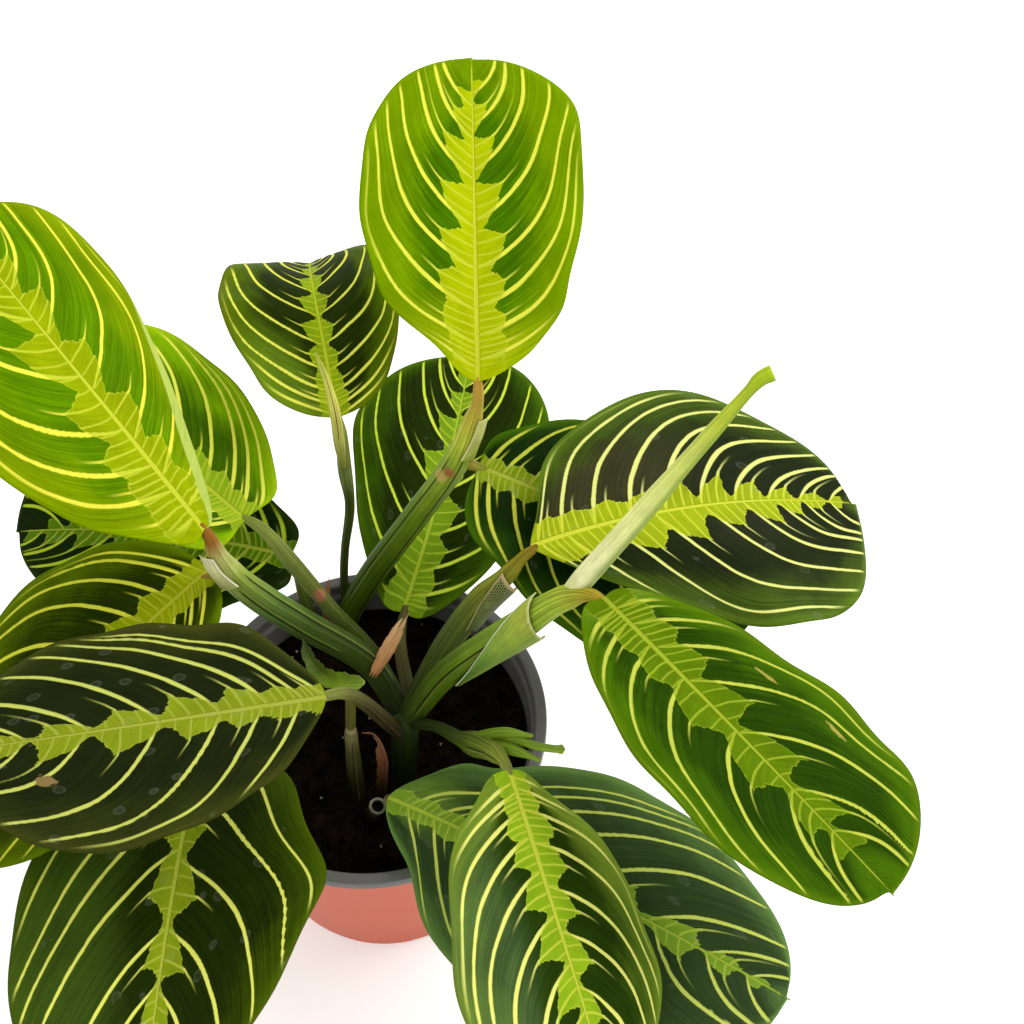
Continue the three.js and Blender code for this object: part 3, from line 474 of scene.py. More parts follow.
# which way the blade faces, from points a little further along and to both sides
def bladeNormals(leaf, s, t):
    step, sideStep = 2e-3, 0.03
    inS = np.clip(s, 0.015, 0.965)
    toLeft, toRight = np.maximum(t - sideStep, -1), np.minimum(t + sideStep, 1)
    forward = bladeSurface(leaf, inS + step, t) - bladeSurface(leaf, inS - step, t)
    across = bladeSurface(leaf, inS, toRight) - bladeSurface(leaf, inS, toLeft)
    normal = np.cross(across, forward)
    return normal / np.linalg.norm(normal, axis=-1, keepdims=True)


# faces of the top, both margins and the underside, with the skin of each and whether it is on the right
def bladeFaces(rows, cols):
    wide, count = cols + 1, (rows + 1) * (cols + 1)
    i, j = [v.ravel() for v in np.meshgrid(np.arange(rows), np.arange(cols), indexing="ij")]
    a = i * wide + j
    upper = np.stack([a, a + 1, a + wide + 1, a + wide], -1)
    under = count + upper[:, ::-1]
    a, b = np.arange(rows) * wide, (np.arange(rows) + 1) * wide
    left = np.stack([b, count + b, count + a, a], -1)
    a, b = a + cols, b + cols
    right = np.stack([a, count + a, count + b, b], -1)
    faces = np.concatenate([upper, left, right, under])
    slots = [0] * (len(faces) - len(under)) + [1] * len(under)
    onRight = j >= cols // 2
    return faces, slots, np.concatenate([onRight, np.zeros(rows, bool), np.ones(rows, bool), onRight])


def buildLeaf(name, leaf, look):
    rows, cols = bladeGrid["rows"], bladeGrid["cols"]
    alongRows = bladeEnd * (0.5 - 0.5 * np.cos(np.pi * np.arange(rows + 1) / rows))
    acrossCols = np.linspace(-1, 1, cols + 1)
    acrossCols = np.sign(acrossCols) * np.abs(acrossCols) ** bladeGrid["crowd"]
    s, t = np.meshgrid(alongRows, acrossCols, indexing="ij")
    halves = [halfFields(leaf, look, s, t, 0), halfFields(leaf, look, s, t, 1)]
    blade, vein, _ = [np.where(t[..., None] < 0, left, right) for left, right in zip(*halves)]
    n, x, edge = vein[..., 0], vein[..., 1], blade[..., 2]
    # the blade swells softly between its veins, and below it the midrib stands out as a ridge
    puff = np.sin(np.pi * (n - np.floor(n))) ** 0.9 - 0.6
    calm = smooth(0, 5, x) * smooth(0, 5, edge) * (n > -0.2)
    lift = look["puff"] * puff * calm
    half = bladeSkin["edge"] + bladeSkin["middle"] * smooth(0, 4, edge)
    ridge = bladeSkin["ridge"] * (1 - 0.8 * s) * np.exp(-(x / bladeSkin["ridgeWidth"]) ** 2)
    middle, normal = bladeSurface(leaf, s, t), bladeNormals(leaf, s, t)
    top = middle + normal * (lift + half)[..., None]
    low = middle + normal * (lift - half - ridge)[..., None]
    points = np.concatenate([top.reshape(-1, 3), low.reshape(-1, 3)])
    faces, slots, isRight = bladeFaces(rows, cols)
    # each half of the blade carries its own vein count, also where the halves meet on the midrib
    corners, picked = {}, faces % s.size
    for key, (leftField, rightField) in zip(("blade", "vein", "lobe"), zip(*halves)):
        leftField, rightField = leftField.reshape(-1, 3), rightField.reshape(-1, 3)
        corners[key] = np.where(isRight[:, None, None], rightField[picked], leftField[picked])
    short = name[len("leaf_"):]
    skins = [leafTopMaterial("waxy upper leaf skin " + short, look),
             leafUnderMaterial("matt lower leaf skin " + short, look)]
    addPiece("blade_" + short, points, faces.tolist(), skins, slots, corners=corners, node=name)


# Each blade in mm and degrees. heading is the way it points and bend how far that turns along it, rise how
# steeply it climbs at its base and at its tip, roll and twist how it leans, fold and curl how its halves
# bend. lobe, widest, skew and uneven shape its outline, and swell widens each half at places in swellAt.
# wave is the height, the count and the phase of the waves in its margin.
leafForms = {
    "leaf_back_tall": dict(
        base=[37.2, 66.1, 192], heading=91.2, rise=[42, 19], roll=3.3, twist=2, fold=10, curl=-7,
        bend=0.4, length=108.3, width=72, lobe=0.01, widest=0.6, skew=-0.04, uneven=-0.05,
        wave=[1.3, 3, 0.4],
        swell=[[-0.19, 0.18, 0.05, -0.08, -0.07], [0.21, 0.2, 0.04, 0.01, 0.14]]),
    "leaf_left_bright": dict(
        base=[-43.7, 13.1, 186], heading=137.9, rise=[37, 19], roll=-7.2, twist=2, fold=3, curl=-15,
        bend=-4.4, length=123.3, width=74, lobe=0.04, widest=0.64, skew=0.08, uneven=-0.1,
        wave=[1.3, 2.9, 3.7],
        swell=[[0.04, 0.15, 0.04, -0.04, 0], [0.03, -0.02, -0.01, -0.08, -0.03]]),
    "leaf_back_left": dict(
        base=[-9, 68, 172], heading=103, rise=[18, -41], roll=0, twist=3, fold=16, curl=-5, bend=-3,
        length=98, width=61, lobe=0.01, widest=0.5, skew=-0.04, uneven=-0.1, wave=[1.2, 3, 4.0],
        swell=[[0.12, -0.01, -0.01, -0.01, 0.03], [0.1, 0.05, 0.04, 0.01, 0.15]]),
    "leaf_back_low": dict(
        base=[9, 42, 94], heading=71.4, rise=[20, 0], roll=-1, twist=5, fold=6, curl=-2, bend=13,
        length=112.5, width=75, lobe=0.04, widest=0.6, skew=-0.03, uneven=0.01, wave=[1.2, 3, 1.2],
        swell=[[-0.01, 0.03, -0.02, 0.03, 0], [0.01, 0.03, -0.02, -0.02, -0.01]]),
    "leaf_right_under": dict(
        base=[37, 57, 160], heading=-18, rise=[-10, -34], roll=-9, twist=-5, fold=4, curl=-12, bend=-8,
        length=109, width=75, lobe=0.03, widest=0.49, skew=-0.02, uneven=0.02, wave=[1.1, 3, 5.0],
        swell=[[-0.11, 0.03, 0.01, 0, 0], [0.09, -0.04, 0, 0.04, -0.02]]),
    "leaf_right_dark": dict(
        base=[54, 25, 160], heading=16, rise=[11, -22], roll=-19, twist=14, fold=5, curl=-8, bend=-7,
        length=114, width=83, lobe=-0.03, widest=0.58, skew=0.17, uneven=0.02, wave=[1.5, 3, 4.3],
        swell=[[0.05, -0.01, -0.07, 0.08, -0.08], [0.03, 0, 0.1, 0.01, 0.02]]),
    "leaf_right_front": dict(
        base=[75, -6, 178], heading=-49.5, rise=[-3, -12], roll=7, twist=1, fold=7, curl=-11, bend=2,
        length=117, width=67, lobe=0.04, widest=0.59, skew=-0.08, uneven=-0.03, wave=[1.2, 3.5, 1.5],
        swell=[[0.06, 0.08, 0, -0.03, 0.03], [0, 0.03, -0.04, -0.06, -0.03]]),
    "leaf_front_small": dict(
        base=[47, -43, 140], heading=-73, rise=[-4, -32], roll=17, twist=0, fold=5, curl=-16, bend=3,
        length=101, width=62, lobe=0.02, widest=0.58, skew=-0.03, uneven=0.1, wave=[1.5, 2.7, 0.3],
        swell=[[-0.14, 0.13, 0.03, 0, -0.02], [-0.15, 0.03, -0.02, 0.03, 0.09]]),
    "leaf_front_large": dict(
        base=[8, -35, 104], heading=-26, rise=[5, -11], roll=-4, twist=3, fold=3, curl=-10, bend=-2,
        length=142, width=82, lobe=-0.03, widest=0.52, skew=0.02, uneven=0.08, wave=[1.3, 4.2, 6],
        swell=[[0.09, -0.17, 0, 0.03, -0.03], [-0.2, -0.01, 0.02, 0, 0.03]]),
    "leaf_front_left": dict(
        base=[-54, -34, 110], heading=-91, rise=[12, -4], roll=1, twist=-17, fold=11, curl=-2, bend=3,
        length=116, width=90, lobe=0.09, widest=0.4, skew=0.04, uneven=0.01, wave=[1.4, 3.1, 2.7],
        swell=[[0, -0.06, 0.11, -0.03, -0.1], [0, 0, 0, -0.02, 0.02]]),
    "leaf_left_dark": dict(
        base=[-5, -37, 174], heading=186, rise=[-7, -4], roll=2, twist=4, fold=6, curl=-13, bend=1,
        length=111, width=69, lobe=-0.02, widest=0.52, skew=-0.01, uneven=-0.02, wave=[1.2, 4, 2.2],
        swell=[[0.12, 0, 0.02, 0.04, -0.03], [-0.05, 0.05, -0.04, -0.02, 0.01]]),
    "leaf_left_mid": dict(
        base=[-47, 16, 160], heading=225, rise=[-8, -26], roll=2, twist=0, fold=9, curl=-8, bend=-1,
        length=117, width=73, lobe=0.01, widest=0.5, skew=-0.09, uneven=0.01, wave=[1.1, 3, 5.5],
        swell=[[-0.03, 0, 0, -0.01, -0.06], [0, 0.04, 0.03, 0.01, 0]]),
    "leaf_left_upper": dict(
        base=[-40, 44, 148], heading=145, rise=[23, 5], roll=2, twist=-2, fold=8, curl=-9, bend=1,
        length=106, width=69, lobe=0.05, widest=0.48, skew=-0.04, uneven=0.02, wave=[1.2, 3, 1.4],
        swell=[[0, 0, 0, 0, 0], [-0.09, 0, 0.01, 0.05, 0.01]]),
    "leaf_left_low": dict(
        base=[-30, 54, 112], heading=169, rise=[8, -16], roll=13, twist=5, fold=10, curl=-6, bend=5,
        length=106, width=65, lobe=0.05, widest=0.52, skew=0.1, uneven=0.04, wave=[1.1, 3, 3.0],
        swell=[[-0.06, -0.1, 0.1, 0, 0.1], [-0.1, 0.05, 0, 0, 0.05]]),
}

# A lobe of the pale band between two veins: how far it reaches from its sinus, 0, to its tooth, 1.
youngLobe = [(0, 0.62), (0.1, 0.8), (0.14, 0.76), (0.29, 0.94), (0.32, 1), (0.335, 0.9), (0.5, 0.5),
             (0.74, 0), (0.87, 0.25), (1, 0.62)]
oldLobe = [(0, 0.42), (0.1, 0.62), (0.13, 0.6), (0.24, 0.78), (0.26, 0.76), (0.35, 0.92), (0.38, 1),
           (0.41, 0.84), (0.6, 0.42), (0.84, 0), (0.94, 0.1), (1, 0.36)]

# What leaves of one age share. zone is where the dark cells turn paler on the way out to the margin, puff
# is how far in mm the blade swells between veins, rings is how strongly dried drops show.
youngLook = dict(
    under="#a9bd5e", underRim="#9db552", underVein="#c9d58a", vein=1.2, shine=0.01, lobe=youngLobe,
    zone=[0.42, 0.92], puff=0.3, rough=0.42, slot="leaf_bright")
midLook = dict(
    under="#7d9a58", underRim="#6f8d4a", underVein="#a9bd72", vein=1.1, shine=0.015, lobe=oldLobe,
    zone=[0.45, 0.95], puff=0.35, rough=0.42, slot="leaf_mid")
oldLook = dict(
    under="#6b8456", underRim="#5b7548", underVein="#93a96c", vein=1.15, shine=0.03, lobe=oldLobe,
    zone=[0.5, 1.0], puff=0.35, rough=0.42, rings=0.06, slot="leaf_dark")

# Each leaf's colours and pattern, its own but for the tints noted below as painted sheen and painted light.
# The lists have one row for its left half and one for its right: veins are where the veins leave the
# midrib, climb how steeply they rise, teeth and sinus how far in mm the pale band reaches between two
# veins. tints and marks have a place, its two reaches and a colour.
leafLooks = {
    "leaf_back_tall": dict(
        youngLook, seed=1.0, zone=[0.34, 0.8], narrow=0.4,
        tints=[[-0.02, 0.0, 0.27, 1.6, "#b0c208", 0.95]], dark="#467400", outer="#749700",
        margin="#7ea100", pale="#b4c403", paleRim="#abbd03", veinTint="#ebed4c", bandVein="#cdd735",
        tipPale=[0.84, 0.95], climb=[0.85, 0.85],
        veins=[[0.04, 0.107, 0.208, 0.326, 0.45, 0.592, 0.718, 0.82],
               [0.06, 0.13, 0.215, 0.327, 0.47, 0.62, 0.76, 0.86]],
        teeth=[[9, 9, 11.5, 11, 12, 10.5, 6], [8, 8, 9.5, 10.3, 9.4, 6.5, 4]],
        sinus=[[8.4, 8, 6.5, 4, 3.4, 3, 3], [7, 5, 4.8, 3.4, 0.7, 0, 0]]),
    "leaf_left_bright": dict(
        youngLook, seed=2.0, tints=[[-0.02, 0.0, 0.24, 1.5, "#9fb406", 0.9]], dark="#5b8700",
        outer="#7a9401", margin="#849d00", pale="#98aa03", paleRim="#90a403", veinTint="#f3ec49",
        bandVein="#c8d235",
        turned=[(0, 1), (0.03, 0.84), (0.08, 0.68), (0.16, 0.72), (0.26, 0.84), (0.36, 0.9), (0.5, 1)],
        climb=[1.0, 0.55],
        veins=[[0.035, 0.118, 0.195, 0.305, 0.468, 0.64, 0.78, 0.88],
               [0.065, 0.16, 0.268, 0.42, 0.593, 0.73, 0.83, 0.9]],
        teeth=[[9, 9, 11, 11, 13, 9, 6], [8, 9, 9.5, 9.5, 9, 7, 5]],
        sinus=[[8.4, 8, 6, 4, 3, 1, 1], [6, 4, 3, 2.5, 2.5, 2, 1]]),
    "leaf_back_left": dict(
        midLook, seed=3.0, tints=[[0.1, -0.7, 0.3, 0.6, "#6c8c1c", 0.7]], dark="#233200", outer="#556e02",
        margin="#6c7b07", pale="#96af11", paleRim="#82a00d", veinTint="#edf05b", bandVein="#c1d02c",
        climb=[0.65, 0.7],
        veins=[[0.008, 0.043, 0.093, 0.178, 0.29, 0.44, 0.593, 0.74, 0.87],
               [0.0, 0.033, 0.09, 0.18, 0.295, 0.445, 0.615, 0.76, 0.88]],
        teeth=[[5, 5, 5, 6.5, 7, 6.5, 5, 3], [5, 5, 4, 4.5, 5, 5, 4, 3]],
        sinus=[[4, 4, 3.5, 3, 1.5, 1, 1, 0], [4, 4, 3, 2, 1, 1, 1, 0]]),
    "leaf_back_low": dict(
        oldLook, seed=4.0, dark="#213102", outer="#3e5e04", margin="#557606", pale="#88ac1e",
        paleRim="#80a419", veinTint="#e1f44c", bandVein="#bdd537", climb=[1.1, 0.85], vein=1.1,
        veins=[[-0.02, 0.09, 0.232, 0.415, 0.59, 0.725, 0.84],
               [0.0, 0.058, 0.143, 0.268, 0.43, 0.613, 0.74, 0.84]],
        teeth=[[9, 9, 10, 10, 8, 5], [8, 8, 9, 10, 10, 8, 5]],
        sinus=[[7, 6, 5, 3, 1, 0], [6, 6, 5, 4, 2, 1, 0]]),
    "leaf_right_under": dict(
        oldLook, seed=5.0, dark="#0e2600", outer="#264501", margin="#446a02", pale="#83980c",
        paleRim="#738f09", veinTint="#c4ca41", bandVein="#a3ad3a", climb=[0.55, 0.7],
        veins=[[0.02, 0.075, 0.16, 0.26, 0.38, 0.51, 0.65, 0.78],
               [0.0, 0.035, 0.113, 0.208, 0.33, 0.46, 0.6, 0.74]],
        teeth=[[6, 6, 7, 9, 9, 8, 6], [5, 6, 7, 8, 9, 8, 6]],
        sinus=[[4, 4, 4, 3, 2, 1, 0], [4, 4, 4, 3, 2, 1, 0]]),
    "leaf_right_dark": dict(
        oldLook, seed=6.0, dark="#182302", outer="#445a11", margin="#5f7d1c", pale="#a0b20e",
        paleRim="#98aa0d", veinTint="#e6ea84", bandVein="#d3d93a", shine=0.05,
        # the first tint is painted sheen: a brownish-grey reflection of the light over the left half
        tints=[[0.3, -0.45, 0.34, 0.4, "#3d3c20", 0.8], [0.6, 0.2, 0.16, 0.25, "#2c2e1a", 0.5]],
        zone=[0.5, 0.95], climb=[1.0, 0.5],
        veins=[[0.023, 0.095, 0.19, 0.295, 0.395, 0.5, 0.6, 0.7, 0.8, 0.9],
               [0.03, 0.105, 0.223, 0.36, 0.503, 0.62, 0.725, 0.81, 0.9]],
        teeth=[[7, 7, 7.5, 8.2, 9.5, 10.4, 6.5, 5, 3.5], [9, 11, 12.3, 11.8, 8.5, 9.5, 5.5, 3.5]],
        sinus=[[6, 6, 6, 5, 3.5, 2, 1.5, 0.5, 0.3], [8, 8, 7.5, 3, 3.5, 2, 1, 0.3]]),
    "leaf_right_front": dict(
        midLook, seed=7.0, tints=[[-0.02, 0.0, 0.14, 1.3, "#8cab34", 0.9]], dark="#264400",
        outer="#446a02", margin="#5f7f07", pale="#5f7d04", paleRim="#5c7b04", veinTint="#c2cb4b",
        bandVein="#9daf2b", climb=[0.65, 0.78],
        marks=[[0.365, -0.66, 0.035, 0.02, "#a39b40"], [0.57, -0.7, 0.035, 0.02, "#a89f48"]],
        veins=[[0.04, 0.098, 0.183, 0.303, 0.478, 0.663, 0.79],
               [0.043, 0.09, 0.173, 0.292, 0.47, 0.662, 0.79]],
        teeth=[[8, 9, 9.3, 10.6, 9.6, 8.2], [8, 8, 9, 11.2, 11.2, 7.5]],
        sinus=[[7, 6.5, 5, 2.4, 1.2, 1], [7, 6, 6, 4.5, 3, 1.5]]),
    "leaf_front_small": dict(
        midLook, seed=8.0,
        # the last tint is painted sheen: an olive-grey reflection of the light over the right half
        tints=[[0.05, -0.9, 0.45, 0.5, "#86a030", 0.9], [0.05, 0.8, 0.2, 0.5, "#7c982c", 0.9],
               [0.55, 0.7, 0.45, 0.45, "#567040", 0.55]], dark="#263d07", outer="#607c20",
        margin="#839a2c", pale="#9cc11f", paleRim="#8fb71b", veinTint="#f9fa7f", bandVein="#d5df46",
        climb=[0.7, 0.8],
        veins=[[0.025, 0.06, 0.128, 0.23, 0.36, 0.493, 0.653, 0.8],
               [0.04, 0.073, 0.133, 0.213, 0.315, 0.445, 0.585, 0.72]],
        teeth=[[6, 7, 7.5, 8, 7.4, 7, 5], [6, 6, 7, 8, 9.3, 9.5, 9]],
        sinus=[[5, 5, 5, 4, 2, 1, 1], [5, 5, 5, 3.5, 2.5, 2, 1]]),
    "leaf_front_large": dict(
        oldLook, seed=9.0, tints=[[0.04, -0.2, 0.16, 0.7, "#6a8c2c", 0.8]], dark="#2b4217",
        outer="#527031", margin="#719745", pale="#7b9d25", paleRim="#84a729", veinTint="#d0dc61",
        bandVein="#a9c139", climb=[1.3, 0.6], shine=0.1,
        veins=[[0.055, 0.12, 0.2, 0.31, 0.46, 0.645, 0.79, 0.89],
               [0.053, 0.118, 0.2, 0.31, 0.47, 0.66, 0.785, 0.88]],
        teeth=[[5, 5, 7, 8, 8, 5, 2.5], [5, 6, 7, 8, 8, 6, 4]],
        sinus=[[3.5, 4, 4, 3, 1.5, 0.5, 0], [4, 4, 4, 3, 1.5, 0.5, 0]]),
    "leaf_front_left": dict(
        oldLook, seed=10.0, dark="#1d2b02", outer="#3b4f02", margin="#4c6004", pale="#8c9f14",
        paleRim="#809416", veinTint="#e9ed68", bandVein="#b3be3f", climb=[1.6, 1.75],
        # painted light: this tint makes the right half lighter, where more light falls on it
        tints=[[0.5, 0.7, 0.6, 0.5, "#46601a", 0.6]],
        veins=[[-0.13, 0.015, 0.235, 0.435, 0.6, 0.75, 0.87],
               [-0.2, -0.06, 0.055, 0.203, 0.433, 0.58, 0.74, 0.87]],
        teeth=[[6, 8, 8, 8, 6, 4], [6, 6, 7, 7, 5.5, 4.5, 3.5]],
        sinus=[[5, 3, 1.5, 0.5, 0.5, 0], [4, 4, 3, 2, 0.5, 0.5, 0]]),
    "leaf_left_dark": dict(
        oldLook, seed=11.0, dark="#192304", outer="#31370a", margin="#424810", pale="#869617",
        paleRim="#819115", veinTint="#c9d061", bandVein="#a6af3d", climb=[0.58, 1.4], shine=0.05,
        marks=[[0.72, -0.42, 0.03, 0.06, "#8a7344"]],
        veins=[[0.065, 0.165, 0.27, 0.433, 0.628, 0.79, 0.9],
               [0.0, 0.055, 0.148, 0.273, 0.432, 0.615, 0.78, 0.9]],
        teeth=[[5, 6, 7.4, 8.8, 8, 5], [5, 6, 7.5, 8, 5.5, 4, 3]],
        sinus=[[3, 3, 2, 1.5, 1, 0], [4, 4, 3.5, 2.5, 1.5, 1, 0]]),
    "leaf_left_mid": dict(
        midLook, seed=12.0, dark="#233200", outer="#526702", margin="#658002", pale="#939f06",
        paleRim="#879707", veinTint="#dbdd42", bandVein="#afb527", climb=[0.85, 0.85],
        veins=[[0.02, 0.06, 0.12, 0.21, 0.33, 0.47, 0.62, 0.77],
               [0.01, 0.043, 0.12, 0.215, 0.35, 0.5, 0.65, 0.8]],
        teeth=[[6, 7, 8, 9, 9, 8, 6], [6, 7, 8, 9, 9, 8, 6]],
        sinus=[[5, 5, 5, 4, 3, 2, 1], [5, 5, 5, 4, 3, 2, 1]]),
    "leaf_left_upper": dict(
        midLook, seed=13.0, dark="#426803", outer="#8bbc05", margin="#afd013", pale="#96b81b",
        paleRim="#94b61b", veinTint="#f8fb5a", bandVein="#bfd134", climb=[1.0, 1.0],
        veins=[[0.01, 0.06, 0.12, 0.2, 0.3, 0.42, 0.56, 0.7, 0.84],
               [-0.03, 0.02, 0.073, 0.168, 0.29, 0.42, 0.56, 0.7, 0.84]],
        teeth=[[6, 7, 8, 9, 9, 8, 7, 5], [7, 7, 8, 9, 9, 8, 7, 5]],
        sinus=[[5, 5, 5, 4, 3, 2, 1, 0], [5, 5, 6, 4, 3, 2, 1, 0]]),
    "leaf_left_low": dict(
        oldLook, seed=14.0, dark="#132800", outer="#172601", margin="#294002", pale="#5c8307",
        paleRim="#567d06", veinTint="#bed335", bandVein="#aab53a", climb=[1.0, 0.6],
        veins=[[0.06, 0.145, 0.25, 0.37, 0.5, 0.615, 0.76, 0.88],
               [0.02, 0.06, 0.14, 0.25, 0.38, 0.52, 0.67, 0.8]],
        teeth=[[6, 7, 8, 9, 9, 8, 6], [6, 7, 8, 9, 9, 8, 6]],
        sinus=[[5, 5, 5, 4, 3, 2, 1], [5, 5, 5, 4, 3, 2, 1]]),
}

for leafName, leafForm in leafForms.items():
    buildLeaf(leafName, leafForm, leafLooks[leafName])
print("leaf blades built")


# Stalks.

# A smooth curve through a run's points, each x, y, z and radius in mm, taken at count + 1 even places.
# With it come its direction and radius at each place, and its length.
def centreLine(run, count):
    knots = np.array([p[:3] for p in run], float)
    ends = np.concatenate([[2 * knots[0] - knots[1]], knots, [2 * knots[-1] - knots[-2]]])
    fine = 40
    points = []
    for i in range(len(knots) - 1):
        p0, p1, p2, p3 = ends[i:i + 4]
        d0, d1, d2 = [max(np.linalg.norm(b - a), 1e-6) ** 0.5 for a, b in ((p0, p1), (p1, p2), (p2, p3))]
        m1 = ((p1 - p0) / d0 - (p2 - p0) / (d0 + d1) + (p2 - p1) / d1) * d1
        m2 = ((p2 - p1) / d1 - (p3 - p1) / (d1 + d2) + (p3 - p2) / d2) * d1
        f = (np.arange(fine) / fine)[:, None]
        c2, c3 = -3 * p1 + 3 * p2 - 2 * m1 - m2, 2 * p1 - 2 * p2 + m1 + m2
        points.append(p1 + m1 * f + c2 * f ** 2 + c3 * f ** 3)
    points = np.concatenate(points + [knots[-1:]])
    length = np.concatenate([[0], np.cumsum(np.linalg.norm(np.diff(points, axis=0), axis=1))])
    at = length[::fine] / length[-1]
    u = np.arange(count + 1) / count
    line = np.stack([np.interp(u, length / length[-1], points[:, k]) for k in range(3)], -1)
    k = np.clip(np.searchsorted(at, u, side="right") - 1, 0, len(run) - 2)
    f = smooth(0, 1, (u - at[k]) / (at[k + 1] - at[k]))
    radii = np.array([p[3] for p in run])
    radius = radii[k] + (radii[k + 1] - radii[k]) * f
    tangent = np.gradient(line, axis=0)
    tangent /= np.linalg.norm(tangent, axis=1, keepdims=True)
    return line, tangent, radius, length[-1]


# two directions across the line at each of its points, carried along it without a twist
def carriedFrames(tangent):
    first = np.array([1.0, 0, 0]) if abs(tangent[0][2]) > 0.95 else np.array([0, 0, 1.0])
    frames = []
    for t in tangent:
        first = first - t * first.dot(t)
        first = first / np.linalg.norm(first)
        frames.append((first, np.cross(t, first)))
    return frames


# a closed tube along a run, with fields for the share of its length, the share of a turn and the mm along
def tube(run, count=48, sides=28, shape=None, roundEnd=False):
    line, tangent, radius, length = centreLine(run, count)
    frames = carriedFrames(tangent)
    points, fields = [], []
    angle = 2 * np.pi * np.arange(sides) / sides
    for i in range(count + 1):
        u = i / count
        r = np.full(sides, radius[i])
        if shape is not None:
            r = r * shape(angle, u)
        if roundEnd:
            over = max(0.0, 1 - (1 - u) * length / radius[i])
            r = r * math.sqrt(max(1 - over * over, 0.02))
        ring = line[i] + np.outer(r * np.cos(angle), frames[i][0])
        points.append(ring + np.outer(r * np.sin(angle), frames[i][1]))
        fields.append(np.stack([np.full(sides, u), angle / (2 * np.pi), np.full(sides, u * length)], -1))
    points, fields = np.concatenate(points), np.concatenate(fields)
    faces = []
    for i in range(count):
        for j in range(sides):
            k = (j + 1) % sides
            faces.append((i * sides + j, i * sides + k, (i + 1) * sides + k, (i + 1) * sides + j))
    faces.append(tuple(range(sides))[::-1])
    faces.append(tuple(range(count * sides, (count + 1) * sides)))
    return points, faces, fields


# small scars and dried patches at places in mm
def marked(put, colour, marks, edgeNoise):
    spot = put("TexCoord").other("Object")
    for place, reach, tint in marks:
        away = put("VectorMath", spot, [c * mm for c in place], operation="DISTANCE") * (1 / (reach * mm))
        shown = put("MapRange", away + (edgeNoise - 0.5) * 1.6, 0.7, 1.1, 1.0, 0.0, **smoothly)
        colour = put("Mix", shown, colour, linear(tint), **blended)
    return colour


stalkLook = dict(rough=0.45, ribs=5.0, ribShow=0.85, threadShow=0.5, relief=0.3, seed=0.0, lip="#8c9c3c")


# Stalk skin: living green tissue under a thin wax, grown in long ribs and wrapped by its own sheath. To
# the eye it is satin and streaked along its length; the streaks follow the ribs and threads of its relief,
# partly its own colour and partly painted shade in the grooves and painted highlight on the ridges. Where
# the sheath closes, its paler lip lies beside a dark line of painted shade in the furrow under its edge. On
# a stalk 9 mm thick the ribs are about 1 mm apart and the threads 0.3 mm.
def runMaterial(name, look):
    look = dict(stalkLook, **look)
    made, put, shader = material(name, look["rough"], leafIor, 0.1)
    along, around, reach = fieldParts(put, "run")
    seed = look["seed"]
    turn = around * (2 * math.pi)
    ringX, ringY = put("Math", turn, operation="COSINE"), put("Math", turn, operation="SINE")
    ribPlace = put("CombineXYZ", ringX * look["ribs"], ringY * look["ribs"], reach * 0.01 + seed)
    ribs = put("TexNoise", ribPlace, 1.0, 2.0, 0.6)
    threads = put("TexNoise", put("CombineXYZ", ringX * 17.0, ringY * 17.0, reach * 0.02 + seed), 1.0)
    blotch = put("TexNoise", put("CombineXYZ", ringX * 0.6, ringY * 0.6, reach * 0.09 + seed), 1.6, 3.0)
    colour = put("ValToRGB", along + (blotch - 0.5) * 0.05)
    followStops(colour, look["stops"])
    # the streaks follow the relief's ribs and threads: partly own colour, partly painted shade in the
    # grooves and painted highlight on the ridges
    colour = vary(put, colour, ribs, look["ribShow"])
    colour = vary(put, colour, threads, look["threadShow"])
    colour = vary(put, colour, blotch, 0.3)
    for middle, spread, tint, amount in look.get("shades", []):
        off = abs(put("Math", around - middle + 0.5, operation="FRACT") - 0.5)
        shown = put("MapRange", off, spread * 0.4, spread, amount, 0.0, **smoothly)
        colour = put("Mix", shown, colour, linear(tint), **blended)
    height = ribs + threads * 0.4
    # edge of the wrapped sheath: where round the stalk it starts and ends, and from where to where along it
    for first, last, low, high in look.get("seams", []):
        off = put("Math", around - (first + along * (last - first)) + 0.5, operation="FRACT") - 0.5
        shown = put("MapRange", along, low, low + 0.04, **smoothly)
        shown = shown * put("MapRange", along, high, high - 0.04, **smoothly)
        lip = put("MapRange", abs(off - 0.022), 0.006, 0.024, 1.0, 0.0, **smoothly) * shown
        # painted shade: the near-black line is the shade in the furrow under the sheath's edge, beside its
        # paler lip
        line = put("MapRange", abs(off), 0.004, 0.016, 1.0, 0.0, **smoothly) * shown
        colour = put("Mix", lip * 0.35, colour, linear(look["lip"]), **blended)
        colour = put("Mix", line * 0.85, colour, linear("#141c04"), **blended)
        height = height + line * -1.5 + lip * 0.6
    grain = put("TexNoise", put("CombineXYZ", ringX, ringY, reach * 0.3), 30.0)
    colour = vary(put, colour, grain, 0.12)
    colour = marked(put, colour, look.get("marks", []), grain)
    finishMaterial(shader, colour, look["rough"] + blotch * 0.12, height + grain * 0.2, look["relief"], 0.9)
    return made


